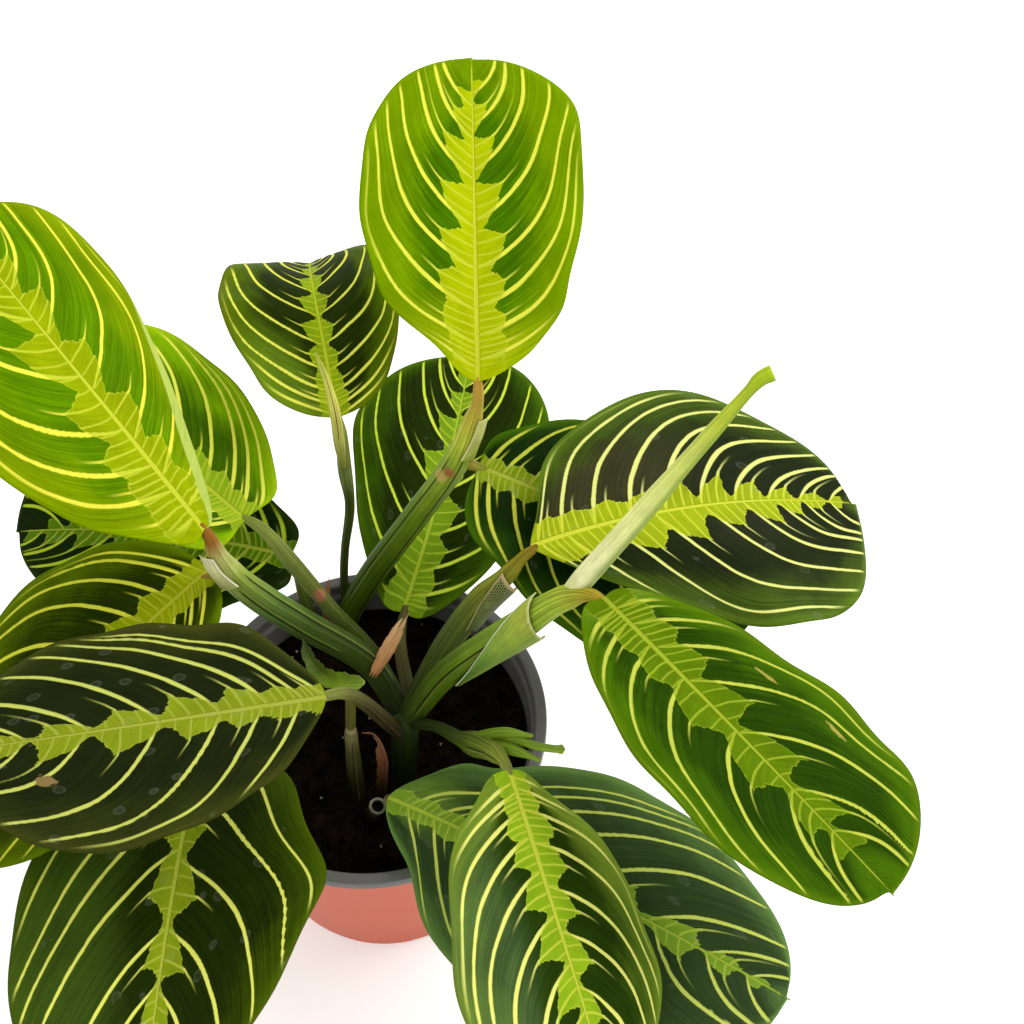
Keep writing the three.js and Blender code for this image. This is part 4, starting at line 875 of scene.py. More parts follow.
# Each stalk has the points and radii of its run, its colours from foot, 0, to end, 1, and the leaf that it
# carries. Seams are as above, and marks are scars: place, reach in mm and colour.
stalks = {
    "stem_crown": dict(
        run=[[11, -14, 66, 4.4], [11, -13.6, 82, 4.3], [12, -10.5, 97, 4.6], [12.6, -7.6, 111, 5.2]],
        stops=[(0, "#202808"), (0.5, "#1e2a0a"), (1, "#2c3c10")]),
    "stem_back": dict(
        run=[[-14.6, 45, 66, 4.2], [-12, 46.4, 84, 4.5], [-1, 50.7, 107, 4.7], [14.8, 55.2, 134, 4.6],
             [29.6, 58.4, 161, 4.4], [34.8, 61.4, 176, 3.3], [37.2, 63.8, 186, 1.9]],
        leaf="leaf_back_tall", seams=[[0.86, 0.76, 0.12, 0.8], [0.6, 0.6, 0.2, 0.78]],
        marks=[[[24, 54.6, 158], 2.6, "#c9ad62"], [[27.5, 55, 160], 2.2, "#a5683c"]],
        stops=[(0, "#3c4a08"), (0.35, "#446004"), (0.55, "#668614"), (0.76, "#8ea830"),
               (0.84, "#bcc440"), (0.93, "#b9a03c"), (1, "#c9923c")]),
    "stem_left": dict(
        run=[[11, -6, 107, 3.8], [1.6, 5.2, 119, 4.5], [-20, 9.2, 140, 4.8], [-31, 10.6, 152, 4.8],
             [-38.4, 11.6, 163, 4.4], [-42, 12.6, 175, 2.9], [-42.8, 13, 182, 1.9]],
        leaf="leaf_left_bright", seams=[[0.06, 0.08, 0.1, 0.76], [0.88, 0.9, 0.3, 0.74]],
        stops=[(0, "#1c2606"), (0.25, "#36480c"), (0.45, "#42581a"), (0.6, "#5e7a30"), (0.76, "#8c9f3c"),
               (0.86, "#c0c070"), (0.93, "#a06a28"), (1, "#94641f")]),
    "petiole_left_upper": dict(
        run=[[11, -3, 106, 2.2], [1.6, 13.2, 113, 2.4], [-12.4, 24, 124, 2.6], [-25.9, 35.2, 137, 2.8],
             [-34.4, 42, 145, 2.1]],
        leaf="leaf_left_upper", marks=[[[-16, 26, 130], 2.4, "#a06a48"]],
        stops=[(0, "#232c0a"), (0.4, "#465212"), (0.7, "#747f36"), (0.85, "#8f9c45"), (1, "#909f3f")]),
    "petiole_back_low": dict(
        run=[[12.4, -4, 99, 2.4], [13, 3, 100.5, 2.5], [9.4, 22, 96.6, 2.3], [8.4, 35, 94, 1.9]],
        leaf="leaf_back_low",
        stops=[(0, "#30340f"), (0.5, "#5f5a2c"), (0.8, "#6d6a38"), (1, "#6a5c34")]),
    "stem_right_back": dict(
        run=[[13.4, -6.6, 108, 3.9], [27.6, 8.4, 130, 4.4], [37.7, 15.6, 143, 4.3], [46.6, 19, 153, 3.0],
             [51.4, 22.4, 157.6, 1.9]],
        leaf="leaf_right_dark",
        stops=[(0, "#2c380c"), (0.45, "#4c5c20"), (0.75, "#7c8424"), (0.9, "#847a1c"), (1, "#8a6a24")]),
    "stem_right": dict(
        run=[[13.6, -8, 107, 3.9], [28, -2.8, 130, 4.4], [50.2, 0.4, 152, 4.9], [64, 0.4, 168, 4.0],
             [71.4, -3.4, 175.4, 2.1]],
        leaf="leaf_right_front", seams=[[0.14, 0.04, 0.05, 0.6]],
        stops=[(0, "#2e4004"), (0.3, "#547008"), (0.6, "#8cac34"), (0.8, "#aec43c"), (0.93, "#b0a02c"),
               (1, "#b7842e")]),
    "stem_front": dict(
        run=[[13.4, -9.4, 107, 2.1], [23.6, -15.4, 115.4, 1.9], [30.4, -22.6, 122, 2.3],
             [36.6, -28.4, 128.4, 4.0], [42.6, -34.4, 134.6, 3.1], [45.8, -40, 138.4, 1.8]],
        leaf="leaf_front_small", seams=[[0.12, 0.16, 0.6, 0.92]],
        stops=[(0, "#1e2808"), (0.4, "#34440e"), (0.7, "#5c6c1c"), (0.88, "#8a9438"), (1, "#8c8c44")]),
    "petiole_left": dict(
        run=[[11.6, -11, 101, 2.4], [6.9, -14.3, 118, 2.6], [2.8, -20.5, 140, 2.3],
             [-0.5, -28.2, 160, 2.0], [-3.4, -33.8, 170, 1.7]],
        leaf="leaf_left_dark", seams=[[0.7, 0.76, 0.05, 0.6]], lip="#8a5c3c",
        stops=[(0, "#2c2410"), (0.3, "#443e20"), (0.6, "#56542c"), (0.8, "#6c6c34"), (1, "#8a9440")]),
    "stalk_old": dict(
        run=[[-4.4, -22.2, 66, 2.6], [-4.4, -22.2, 84, 2.9], [-4, -22.4, 100, 2.6],
             [-2.8, -23.6, 126, 2.1], [-2.4, -24.2, 132, 1.6], [-0.2, -26.2, 156, 1.6]],
        seams=[[0.76, 0.8, 0.1, 0.66]], lip="#8c8458", marks=[[[-2.4, -24.6, 131], 2.2, "#a89a6c"]],
        stops=[(0, "#141408"), (0.3, "#2a2c10"), (0.55, "#48461c"), (0.68, "#7c7448"), (0.76, "#5c5a20"),
               (1, "#6a6c20")]),
    "petiole_left_mid": dict(
        run=[[-37.6, 11.8, 158.6, 2.0], [-43.4, 13.6, 159.4, 1.9]],
        leaf="leaf_left_mid",
        stops=[(0, "#64742c"), (0.5, "#948a34"), (1, "#a38030")]),
    "petiole_right_under": dict(
        run=[[28.8, 58.2, 159.6, 1.9], [34, 57.6, 160.2, 1.8]],
        leaf="leaf_right_under",
        stops=[(0, "#8a8a34"), (0.5, "#9c9438"), (1, "#7c8420")]),
    "petiole_back_left": dict(
        run=[[-12.4, 47, 86, 1.5], [-12.6, 53, 98, 1.5], [-11, 56, 114, 1.5], [-7.7, 59.6, 135, 1.7],
             [-8.3, 63.2, 150, 2.4], [-8.2, 65.6, 166, 2.0]],
        leaf="leaf_back_left",
        stops=[(0, "#2e3c08"), (0.5, "#48541c"), (0.6, "#3c4c10"), (0.72, "#788444"), (0.9, "#84903c"),
               (1, "#b3bb58")]),
    "spike_back_left": dict(
        run=[[-8.3, 60.2, 155, 1.2], [-8.6, 62.2, 168, 1.9], [-9.3, 66, 178, 1.8],
             [-12, 73.5, 185.5, 1.2], [-15.6, 81, 189.5, 0.4]],
        seams=[[0.78, 0.78, 0.3, 0.9]], lip="#e4e08a",
        stops=[(0, "#7a8430"), (0.25, "#b4b454"), (0.6, "#d8d464"), (1, "#c4cc50")]),
    "petiole_left_low": dict(
        run=[[-21, 37, 66, 2.0], [-22, 38.6, 80, 2.0], [-26.6, 46, 98, 1.9], [-29, 51.6, 109, 1.7]],
        leaf="leaf_left_low",
        stops=[(0, "#141404"), (0.4, "#2c380c"), (0.7, "#5a6820"), (1, "#8c8c40")]),
    "petiole_front_left": dict(
        run=[[-37.6, -15.6, 66, 2.3], [-38.2, -16.8, 80, 2.3], [-45.4, -29, 100, 2.1],
             [-50.6, -34.2, 107.6, 1.8]],
        leaf="leaf_front_left",
        stops=[(0, "#27380c"), (1, "#55741a")]),
    "petiole_front": dict(
        run=[[8.6, -28.6, 66, 2.0], [8.4, -29.4, 82, 2.0], [7.8, -33, 98, 1.8]],
        leaf="leaf_front_large", marks=[[[7.6, -34.5, 98], 3.0, "#9a9470"]],
        stops=[(0, "#2c3008"), (0.5, "#4c5220"), (1, "#76703c")]),
    "stub_cut": dict(
        run=[[0.6, -28.4, 67, 3.2], [1.2, -28.6, 78, 3.3], [3, -29.2, 85.5, 2.9]],
        stops=[(0, "#0e0e06"), (0.8, "#26260f"), (0.93, "#54543a"), (0.99, "#8c8a70"), (1, "#a09c84")]),
}

stalkSteps = {"stem_back": 96, "stem_left": 80, "stem_right": 72}  # the long ones need more rings than 48
stalkSides = 28


# nine low ribs that turn a little on their way up
def ribbing(angle, along):
    return 1 + 0.015 * np.cos(9 * angle + 2 * along)


# a cut stalk is hollow: its end ring is led in and down to a dark floor
def hollowEnd(points, faces, fields, sides):
    ring, last = points[-sides:], len(points) - sides
    middle = ring.mean(0)
    down = points[-2 * sides:-sides].mean(0) - middle
    down = down / np.linalg.norm(down)
    shares, depths, places = [0.72, 0.66, 0.6], [0.1, 1.2, 3.0], [0.99, 0.7, 0.1]
    for share, depth, place in zip(shares, depths, places):
        points = np.concatenate([points, middle + (ring - middle) * share + down * depth])
        inside = fields[last:last + sides].copy()
        inside[:, 0] = place
        fields = np.concatenate([fields, inside])
    faces = faces[:-1]
    for step in range(len(shares)):
        a, b = last + step * sides, last + (step + 1) * sides
        faces += [(a + j, a + (j + 1) % sides, b + (j + 1) % sides, b + j) for j in range(sides)]
    return points, faces + [tuple(range(last + len(shares) * sides, len(points)))], fields


# a leaf's stalk ends in its midrib, a little way up the blade
def midribRoot(leaf):
    onBlade = bladeSurface(leaf, np.array([0.03]), np.array([0.0]))[0]
    return [*(onBlade + [0, 0, -0.6]), 1.2]


for number, (stalkName, stalk) in enumerate(stalks.items()):
    cutOff = stalkName == "stub_cut"
    run = [list(p) for p in stalk["run"]]
    if "leaf" in stalk:
        run.append(midribRoot(leafForms[stalk["leaf"]]))
    steps = stalkSteps.get(stalkName, 48)
    points, faces, fields = tube(run, steps, stalkSides, ribbing, roundEnd=not cutOff)
    if cutOff:
        points, faces, fields = hollowEnd(points, faces, fields, stalkSides)
    skin = runMaterial("ribbed stalk skin " + stalkName, dict(stalk, seed=float(number)))
    addPiece("stalk_" + stalkName, points, faces, [skin], fields={"run": fields}, node=stalkName)
print("stalks built")

furledLeaf = dict(
    run=[[64, 0.6, 166, 3.0], [70, 2.6, 176, 3.6], [85, 8.0, 200, 3.3], [101, 14, 226, 2.4],
         [112, 18, 243.5, 1.7], [114.6, 19, 247, 2.2], [117.6, 19.6, 248.6, 2.4]],
    stops=[(0, "#c4d050"), (0.12, "#fffdc0"), (0.4, "#f6fa9c"), (0.8, "#c4d440"), (1, "#aac41c")],
    ribs=2.2, ribShow=0.25, threadShow=0.2, relief=0.12, rough=0.4, shades=[[0.29, 0.16, "#8fae34", 0.7]])


# round section that steps out where the rolled blade's outer edge lies on it
def rolled(angle, along):
    return 0.9 + 0.2 * ((angle / (2 * np.pi) + 0.75) % 1)


points, faces, fields = tube(furledLeaf["run"], 90, 48, rolled)
addPiece("furled_leaf", points, faces, [runMaterial("smooth skin of a new leaf still rolled", furledLeaf)],
         fields={"run": fields}, node="leaf_furled")

flowerBud = dict(
    stalk=[[37, -26.6, 130, 1.6], [46, -29, 134.4, 1.5], [56, -33.6, 137, 1.3], [61.6, -35, 138, 1.2],
           [64.2, -35.2, 138.2, 1.9]],
    spikes=[[[36.6, -27.4, 130, 2.2], [45, -28, 135, 1.9], [54.6, -30.6, 138, 0.7]],
            [[38, -29, 130, 2.2], [47, -32.8, 134, 1.9], [56.8, -37.6, 135.6, 0.7]]],
    stops=[(0, "#5c7414"), (0.5, "#7c9c24"), (1, "#9cbc3c")], rough=0.4)
budRuns = [flowerBud["stalk"]] + flowerBud["spikes"]
points, faces, fields = joined(tube(run, 40, 20, roundEnd=True) for run in budRuns)
addPiece("bud_with_bracts", points, faces, [runMaterial("green bud and bracts", flowerBud)],
         fields={"run": fields}, node="flower_bud")


# Sheath strips and husks.

# a thin sheet on a grid of points, closed all round
def strip(inner, outward, thick):
    rows, cols = inner.shape[0], inner.shape[1]
    points = np.concatenate([inner.reshape(-1, 3), (inner + outward * thick).reshape(-1, 3)])
    count = rows * cols
    faces = []
    for i in range(rows - 1):
        for j in range(cols - 1):
            a = i * cols + j
            faces.append((a, a + cols, a + cols + 1, a + 1))
            faces.append((count + a, count + a + 1, count + a + cols + 1, count + a + cols))
    ring = [i * cols for i in range(rows)] + [(rows - 1) * cols + j for j in range(1, cols)]
    ring += [i * cols + cols - 1 for i in range(rows - 2, -1, -1)] + list(range(cols - 2, 0, -1))
    for a, b in zip(ring, ring[1:] + ring[:1]):
        faces.append((a, b, b + count, a + count)[::-1])
    return points, faces


# Sheath tissue: thin leaf base that wrapped the stalk, green where it lives and papery brown where it has
# dried. To the eye it is matt and streaked along its fibres, with a pale dry rim, and where its cells
# have died it shows as a net of threads. 16 to 26 fibres lie side by side, 0.4 to 0.8 mm apart.
def stripMaterial(name, look):
    made, put, shader = material(name, 0.5, leafIor, 0.2)
    along, across, reach = fieldParts(put, "run")
    seed = look["seed"]
    fibrePlace = put("CombineXYZ", across * look.get("fibres", 16.0), reach * 0.05, seed)
    fibres = put("TexNoise", fibrePlace, 1.0, 3.0, 0.6)
    blotch = put("TexNoise", put("CombineXYZ", across, reach * 0.12, seed), 1.5, 3.0)
    colour = put("ValToRGB", along + (blotch - 0.5) * 0.2)
    followStops(colour, look["stops"])
    colour = vary(put, colour, fibres, look.get("fibreShow", 0.6))
    colour = vary(put, colour, blotch, 0.3)
    # painted light: a second tint towards the outer edge, for the sheen where the fold turns to the light
    if "far" in look:
        turned = put("MapRange", across, 0.35, 0.75, **smoothly) * 0.8
        colour = put("Mix", turned, colour, vary(put, linear(look["far"]), fibres, 0.5), **blended)
    height = fibres
    # pale net of crossing threads over dark cells, 1.2 mm apart
    if "net" in look:
        rowCount = across * 15.0 + reach * 0.06
        rows = put("Math", rowCount, 0.5, operation="PINGPONG")
        offset = put("Math", rowCount, operation="FLOOR") * 0.37
        rungs = put("Math", reach * 0.8 + offset, 0.5, operation="PINGPONG")
        web = put("Math", put("MapRange", rows, 0.1, 0.2, 1.0, 0.0, **smoothly),
                  put("MapRange", rungs, 0.07, 0.16, 0.7, 0.0, **smoothly), operation="MAXIMUM")
        patches = put("TexNoise", put("CombineXYZ", reach * 1.15, across * 15.0, seed), 0.3)
        shown = put("MapRange", along, *look["net"], **smoothly)
        shown = shown * put("MapRange", patches, 0.3, 0.42, **smoothly)
        meshed = put("Mix", web, linear("#2f3c0c"), linear("#a5ab62"), **blended)
        colour = put("Mix", shown, colour, meshed, **blended)
        height = height + web * shown * 0.6
    rim = across if look.get("oneRim") else put("Math", across, 1.0 - across, operation="MINIMUM")
    thin = look.get("rimWidth", 0.06)
    onRim = put("MapRange", rim + (blotch - 0.5) * 0.03, thin * 0.3, thin, 1.0, 0.0, **smoothly)
    colour = put("Mix", onRim, colour, linear(look["rim"]), **blended)
    if "lastTint" in look:
        first, tint = look["lastTint"]
        last = put("MapRange", along + (fibres - 0.5) * 0.06, first, first + 0.04, **smoothly)
        colour = put("Mix", last, colour, linear(tint), **blended)
    finishMaterial(shader, colour, None, height, 0.25, 0.9)
    return made


# A sheath strip wraps part of a stalk. run is its line with its radius. start and end are angles round that
# line in degrees, each at its foot and at its mouth. flare is how far its free edge stands off in mm there,
# slant how much shorter that edge is, and net where along it the net begins to show.
sheaths = {
    "sheath_right": dict(
        run=[[28, -2.8, 130, 5.2], [37, -1.3, 139, 5.5], [50.2, 0.4, 152, 5.7], [59, 0.6, 162, 5.6]],
        start=[105, -45], end=[125, 150], flare=[0.2, 1.4], slant=0.2, seed=1.0,
        # far is painted light, the sheen on the outer part of the flap where it turns to the light
        stops=[(0, "#4c7414"), (0.4, "#6f9434"), (0.7, "#9cb43c"), (1, "#b4bc40")], far="#8cab44",
        rim="#e4ead0", rimWidth=0.045, oneRim=True, fibres=26.0, lastTint=(0.965, "#d4d88c")),
    "sheath_right_back": dict(
        run=[[32.5, 12.2, 136.5, 4.9], [37.7, 15.6, 143, 4.9], [43.4, 17.9, 149.4, 4.6],
             [47.2, 19.4, 153.6, 4.0]],
        start=[60, 10], end=[130, 150], flare=[0.1, 1.2], slant=0.15, seed=2.0,
        stops=[(0, "#47591c"), (0.5, "#7b873f"), (1, "#8f9450")], net=(0.25, 0.4), rim="#b9a878",
        rimWidth=0.05, fibres=24.0, lastTint=(0.93, "#c4ae7c")),
    "sheath_left_mouth": dict(
        run=[[-38.2, 11.6, 163, 4.9], [-40.6, 12.1, 169, 4.4], [-42, 12.7, 176, 3.7]],
        start=[-50, -80], end=[-160, -150], flare=[0.1, 0.9], slant=0, seed=3.0,
        stops=[(0, "#a8ae5c"), (1, "#e8e6b0")], rim="#f0eccc"),
    "sheath_back_mouth": dict(
        run=[[31, 59, 165.5, 4.7], [33.4, 60.5, 171.6, 4.2], [36, 62.4, 180.4, 3.5]],
        start=[60, 80], end=[170, 150], flare=[0.1, 0.8], slant=0, seed=4.0,
        stops=[(0, "#9cac3c"), (1, "#dcdc88")], rim="#e4e0a0"),
}

sheathGrid = dict(steps=48, width=24, fine=12, thick=0.4, off=0.15)  # off is the gap to the stalk in mm

for sheathName, sheath in sheaths.items():
    steps, width, fine = sheathGrid["steps"], sheathGrid["width"], sheathGrid["fine"]
    line, tangent, radius, length = centreLine(sheath["run"], steps * fine)
    frames = np.array(carriedFrames(tangent))
    u, v = np.meshgrid(np.arange(steps + 1) / steps, np.arange(width + 1) / width, indexing="ij")
    at = np.round(u * (1 - sheath["slant"] * v) * steps * fine).astype(int)
    start = sheath["start"][0] + (sheath["start"][1] - sheath["start"][0]) * u
    end = sheath["end"][0] + (sheath["end"][1] - sheath["end"][0]) * u
    around = np.radians(start + (end - start) * v)[..., None]
    outward = np.cos(around) * frames[at, 0] + np.sin(around) * frames[at, 1]
    flare = (sheath["flare"][0] + (sheath["flare"][1] - sheath["flare"][0]) * u) * smooth(0.5, 1, v)
    inner = line[at] + outward * (radius[at] + flare + sheathGrid["off"])[..., None]
    fields = np.stack([u, v, u * length], -1).reshape(-1, 3)
    points, faces = strip(inner, outward, sheathGrid["thick"])
    both = np.concatenate([fields, fields])  # for the inner face and the outer one
    tissue = stripMaterial("living sheath tissue " + sheathName, sheath)
    addPiece("strip_" + sheathName, points, faces, [tissue], fields={"run": both}, node=sheathName)

# run is a husk's middle line with half its width, face the way it faces, cup how far its sides turn up
husks = {
    "sheath_torn": dict(
        run=[[-17.2, -2.6, 150, 0.6], [-15, -8.4, 146.5, 2.2], [-10.6, -13.6, 145.5, 3.0],
             [-4, -17, 147.5, 3.2], [3, -18.6, 150, 2.4]],
        face=[0.2, -0.5, 0.85], cup=0.5, seed=5.0, slot="sheath_pale",
        stops=[(0, "#39471a"), (0.4, "#4c6208"), (0.7, "#80a01c"), (1, "#8aa438")], rim="#a8955a",
        rimWidth=0.05, fibres=20.0),
    "husk_crown": dict(
        run=[[2.6, -2.4, 124.9, 1.6], [6.4, 8, 122.5, 2.5], [10, 20, 117.3, 2.2], [12.6, 30, 112.5, 0.5]],
        face=[0, -0.4, 0.9], cup=0.5, seed=6.0, slot="husk_dry",
        shreds=[(-1, -0.15, 0, 0.82, 1.2), (-0.4, 0.45, 0, 1, 0), (0.25, 1, 0, 0.66, 0.8)],
        stops=[(0, "#8c5c30"), (0.4, "#c0905c"), (1, "#dcb880")], rim="#a07048", fibres=9.0,
        fibreShow=1.0),
    "husk_back": dict(
        run=[[-18.9, 44, 79.3, 1.9], [-18.9, 45.6, 87, 1.9], [-18.3, 48.4, 96, 1.3],
             [-17.4, 52, 104, 0.35]],
        face=[-0.2, -0.7, 0.7], cup=0.4, seed=7.0, slot="husk_dry",
        shreds=[(-1, 0.1, 0, 0.9, 0.3), (-0.1, 1, 0, 1, 0)], stops=[(0, "#8a5a2c"), (1, "#cf9468")],
        rim="#a06c44", fibreShow=0.9),
    "husk_front": dict(
        run=[[-1.4, -12.6, 106, 0.5], [2.6, -14.2, 107, 1.5], [5.2, -18.4, 100, 2.0],
             [4.6, -21.2, 90, 1.9], [4.4, -22.4, 79.5, 1.4]],
        face=[-0.3, -0.9, 0.3], cup=0.5, seed=8.0, slot="husk_dry",
        shreds=[(-1, 0.1, 0, 1, 0), (-0.1, 1, 0.12, 1, 0.3)],
        stops=[(0, "#b07c54"), (0.4, "#8c5838"), (0.75, "#4c3418"), (1, "#3c3014")], rim="#9a6444",
        fibres=9.0, fibreShow=1.0),
}

huskGrid = dict(steps=44, width=14, thick=0.35)
# a shred: from where to where across (-1 to 1), from where to where along (0 to 1), and how far its end
# lifts in mm
wholeWidth = (-1, 1, 0, 1, 0)


# dry tissue splits along its fibres: each shred keeps its own part of the width and ends at its own place
def shredMesh(husk, line, side, up, radius, length, shred):
    low, high, first, last, lift = shred
    steps, width = huskGrid["steps"], huskGrid["width"]
    u, v = np.arange(steps + 1) / steps, 2 * np.arange(width + 1) / width - 1
    here = first + (last - first) * u
    full, narrowing = (0.12, 0.75) if "shreds" in husk else (0.1, 0.93)
    ends = smooth(0, full, u) * smooth(1, narrowing, u)
    frayed = 1 - 0.07 * (1 + np.sin(31 * u + husk["seed"] + 5 * low))
    frayed = frayed - 0.05 * (1 + np.sin(67 * u + 9 * high))
    reach = (high - low) / 2 * (0.25 + 0.75 * ends) * frayed
    place = (low + high) / 2 + reach[:, None] * v
    at = np.stack([np.interp(here, u, line[:, k]) for k in range(3)], -1)
    wide = np.interp(here, u, radius)[:, None]
    inner = at[:, None] + side[:, None] * (wide * place)[..., None]
    raised = husk["cup"] * wide * (place ** 2 - 0.5) + 0.2 + lift * u[:, None]
    inner = inner + up[:, None] * raised[..., None]
    points, faces = strip(inner, np.repeat(up[:, None], width + 1, 1), huskGrid["thick"])
    fields = np.stack(np.broadcast_arrays(here[:, None], (place + 1) / 2, (here * length)[:, None]), -1)
    return points, faces, np.concatenate([fields.reshape(-1, 3)] * 2)


for huskName, husk in husks.items():
    line, tangent, radius, length = centreLine(husk["run"], huskGrid["steps"])
    face = np.array(husk["face"]) / np.linalg.norm(husk["face"])
    side = np.cross(tangent, face)
    side /= np.linalg.norm(side, axis=1, keepdims=True)
    up = np.cross(side, tangent)
    shreds = husk.get("shreds", [wholeWidth])
    meshes = [shredMesh(husk, line, side, up, radius, length, shred) for shred in shreds]
    points, faces, fields = joined(meshes)
    addPiece("strip_" + huskName, points, faces, [stripMaterial("dry papery tissue " + huskName, husk)],
             fields={"run": fields}, node=huskName)
print("sheaths and husks built")


# Pot and compost.

pot = dict(
    rimRadius=60, rimInner=55.9, height=93, lipDepth=4.2, topRadius=56.6, baseRadius=45.7, wall=1.2,
    floorTop=2.8, footHeight=1.5, footInner=39, padRadius=13, shoulder=6.4, notches=8, notchWidth=14,
    drains=8, drainRadius=3.5, drainCircle=27, sides=160, sharpAngle=28)

# Object coordinates are in metres, so a noise scale of 18 is 55 mm, 25 is 40 mm and 900 is 1.1 mm. The
# real grain of the mould is about 0.1 mm, too fine to show, and is drawn that much coarser.
potPlastics = [
    dict(name="terracotta polypropylene", light="#de5c2c", deep="#d45228", clouds=18.0, rough=[0.36, 0.14],
         grainShow=0.05, gloss=0.35),
    dict(name="grey polypropylene", light="#6a6764", deep="#777470", clouds=25.0, rough=[0.4, 0.16],
         grainShow=0.06, gloss=0.5)]


# Polypropylene moulded in two layers at once, terracotta outside and recycled grey inside and over the
# rim. To the eye both are matt with a soft wide shine, a little cloudy where the colour mixed unevenly.
def potMaterial(look):
    made, put, shader = material(look["name"], look["rough"][0], 1.49, look["gloss"])
    spot = put("TexCoord").other("Object")
    cloud = put("TexNoise", spot, look["clouds"], 3.0)
    grain = put("TexNoise", spot, 900.0)
    colour = put("Mix", cloud, linear(look["light"]), linear(look["deep"]), **blended)
    colour = vary(put, colour, grain, look["grainShow"])
    finishMaterial(shader, colour, look["rough"][0] + cloud * look["rough"][1], grain, 0.06, 0.6)
    return made


# the pot's outline from under the base, up the outside, over the rim and down the inside: radius, height
# and which of the two plastics its face up to there has
outside, inside = 0, 1
top, lip, rim, foot = pot["height"], pot["height"] - pot["lipDepth"], pot["rimRadius"], pot["footHeight"]
profile = [
    [0, 0, outside], [pot["padRadius"], 0, outside], [pot["padRadius"] + 1.5, foot, outside],
    [pot["footInner"] - 1.5, foot, outside], [pot["footInner"], 0, outside],
    [pot["baseRadius"] - 0.8, 0, outside], [pot["baseRadius"], 0.9, outside],
    [pot["topRadius"] - 0.3, lip - 1.6, outside], [pot["topRadius"] + 1.4, lip - 0.2, outside],
    [rim - 0.6, lip, inside], [rim, lip + 0.7, inside], [rim, top - 0.8, inside],
    [rim - 0.25, top - 0.25, inside], [rim - 0.8, top, inside],
    [pot["rimInner"] + 0.6, top, inside], [pot["rimInner"], top - 0.7, inside],
    [pot["rimInner"] - 0.2, top - 5, inside],
    [pot["topRadius"] - pot["wall"] - 0.8, top - pot["shoulder"], inside],
    [pot["baseRadius"] - pot["wall"] + 0.2, pot["floorTop"], inside], [0, pot["floorTop"], inside]]


def buildPot():
    sides = pot["sides"]
    angle = 2 * np.pi * np.arange(sides) / sides
    points, faces, slots = [], [], []
    for radius, height, _ in profile:
        r = max(radius, 0.01)
        points.append(np.stack([r * np.cos(angle), r * np.sin(angle), np.full(sides, height)], -1))
    for i in range(len(profile) - 1):
        for j in range(sides):
            k = (j + 1) % sides
            faces.append((i * sides + k, (i + 1) * sides + k, (i + 1) * sides + j, i * sides + j))
            slots.append(profile[i + 1][2])
    plastics = [potMaterial(look) for look in potPlastics]
    return addPiece("nursery_pot", np.concatenate(points), faces, plastics, slots, node="pot")


# blocks that cut the notches out of the foot and the drain holes out of the floor
def potCutters():
    points, faces = [], []
    below, holeSides = -1, 32
    round32 = 2 * np.pi * np.arange(holeSides) / holeSides

    def prism(outline, top):
        start, n = len(points), len(outline)
        points.extend([(x, y, below) for x, y in outline] + [(x, y, top) for x, y in outline])
        faces.append(tuple(start + k for k in range(n))[::-1])
        faces.append(tuple(start + n + k for k in range(n)))
        for k in range(n):
            following = (k + 1) % n
            faces.append((start + k, start + following, start + n + following, start + n + k))

    inner, outer, half = pot["footInner"] - 2, pot["baseRadius"] + 3, pot["notchWidth"] / 2
    for k in range(pot["notches"]):
        turn = 2 * math.pi * (k + 0.5) / pot["notches"]
        ux, uy = math.cos(turn), math.sin(turn)
        square = [(inner, -half), (outer, -half), (outer, half), (inner, half)]
        prism([(ux * r - uy * w, uy * r + ux * w) for r, w in square], pot["footHeight"])
    for k in range(pot["drains"]):
        turn = 2 * math.pi * (k + 0.5) / pot["drains"]
        x, y = pot["drainCircle"] * math.cos(turn), pot["drainCircle"] * math.sin(turn)
        r = pot["drainRadius"]
        prism([(x + r * math.cos(a), y + r * math.sin(a)) for a in round32], pot["floorTop"] + 0.2)
    mesh = bpy.data.meshes.new("cutters")
    mesh.from_pydata((np.array(points) * mm).tolist(), [], faces)
    made = bpy.data.objects.new("cutters", mesh)
    scene.collection.objects.link(made)
    return made


potPiece = buildPot()
cutters = potCutters()
cut = potPiece.modifiers.new("cut", "BOOLEAN")
cut.operation, cut.solver, cut.object = "DIFFERENCE", "EXACT", cutters
bpy.context.view_layer.update()
cutMesh = bpy.data.meshes.new_from_object(potPiece.evaluated_get(bpy.context.evaluated_depsgraph_get()))
potPiece.modifiers.remove(cut)
potPiece.data = cutMesh
bpy.data.objects.remove(cutters)
edges = potPiece.modifiers.new("edges", "EDGE_SPLIT")
edges.split_angle = math.radians(pot["sharpAngle"])

soil = dict(
    level=79, seed=41, rings=90, sides=200, gap=0.6, waves=26, lump=1.2, rough=0.12,
    crumbs=dict(count=1500, low=0.5, high=1.5, reach=51.5, sink=0.1),
    perlite=dict(count=26, low=0.35, high=0.95, reach=49.0, sink=0.55))
rng = np.random.default_rng(soil["seed"])


# Peat compost, damp: loose dark crumbs and fibres. To the eye it is almost black, without shine, and its
# lumps of about 6 mm (scale 160) and crumbs of 1.4 mm (scale 700) catch a little brown light.
def soilMaterial():
    made, put, shader = material("damp peat compost", 0.9, 1.4, 0.05)
    spot = put("TexCoord").other("Object")
    lumps = put("TexNoise", spot, 160.0, 4.0, 0.65)
    fine = put("TexNoise", spot, 700.0, 3.0, 0.6)
    lit = put("MapRange", lumps, 0.35, 0.7, **smoothly)
    colour = put("Mix", lit, linear("#0b0704"), linear("#20150c"), **blended)
    colour = put("Mix", put("MapRange", fine, 0.66, 0.76, **smoothly), colour, linear("#46301f"), **blended)
    finishMaterial(shader, colour, 0.75 + fine * 0.2, lumps + fine * 0.5, 1.0, 1.0)
    return made


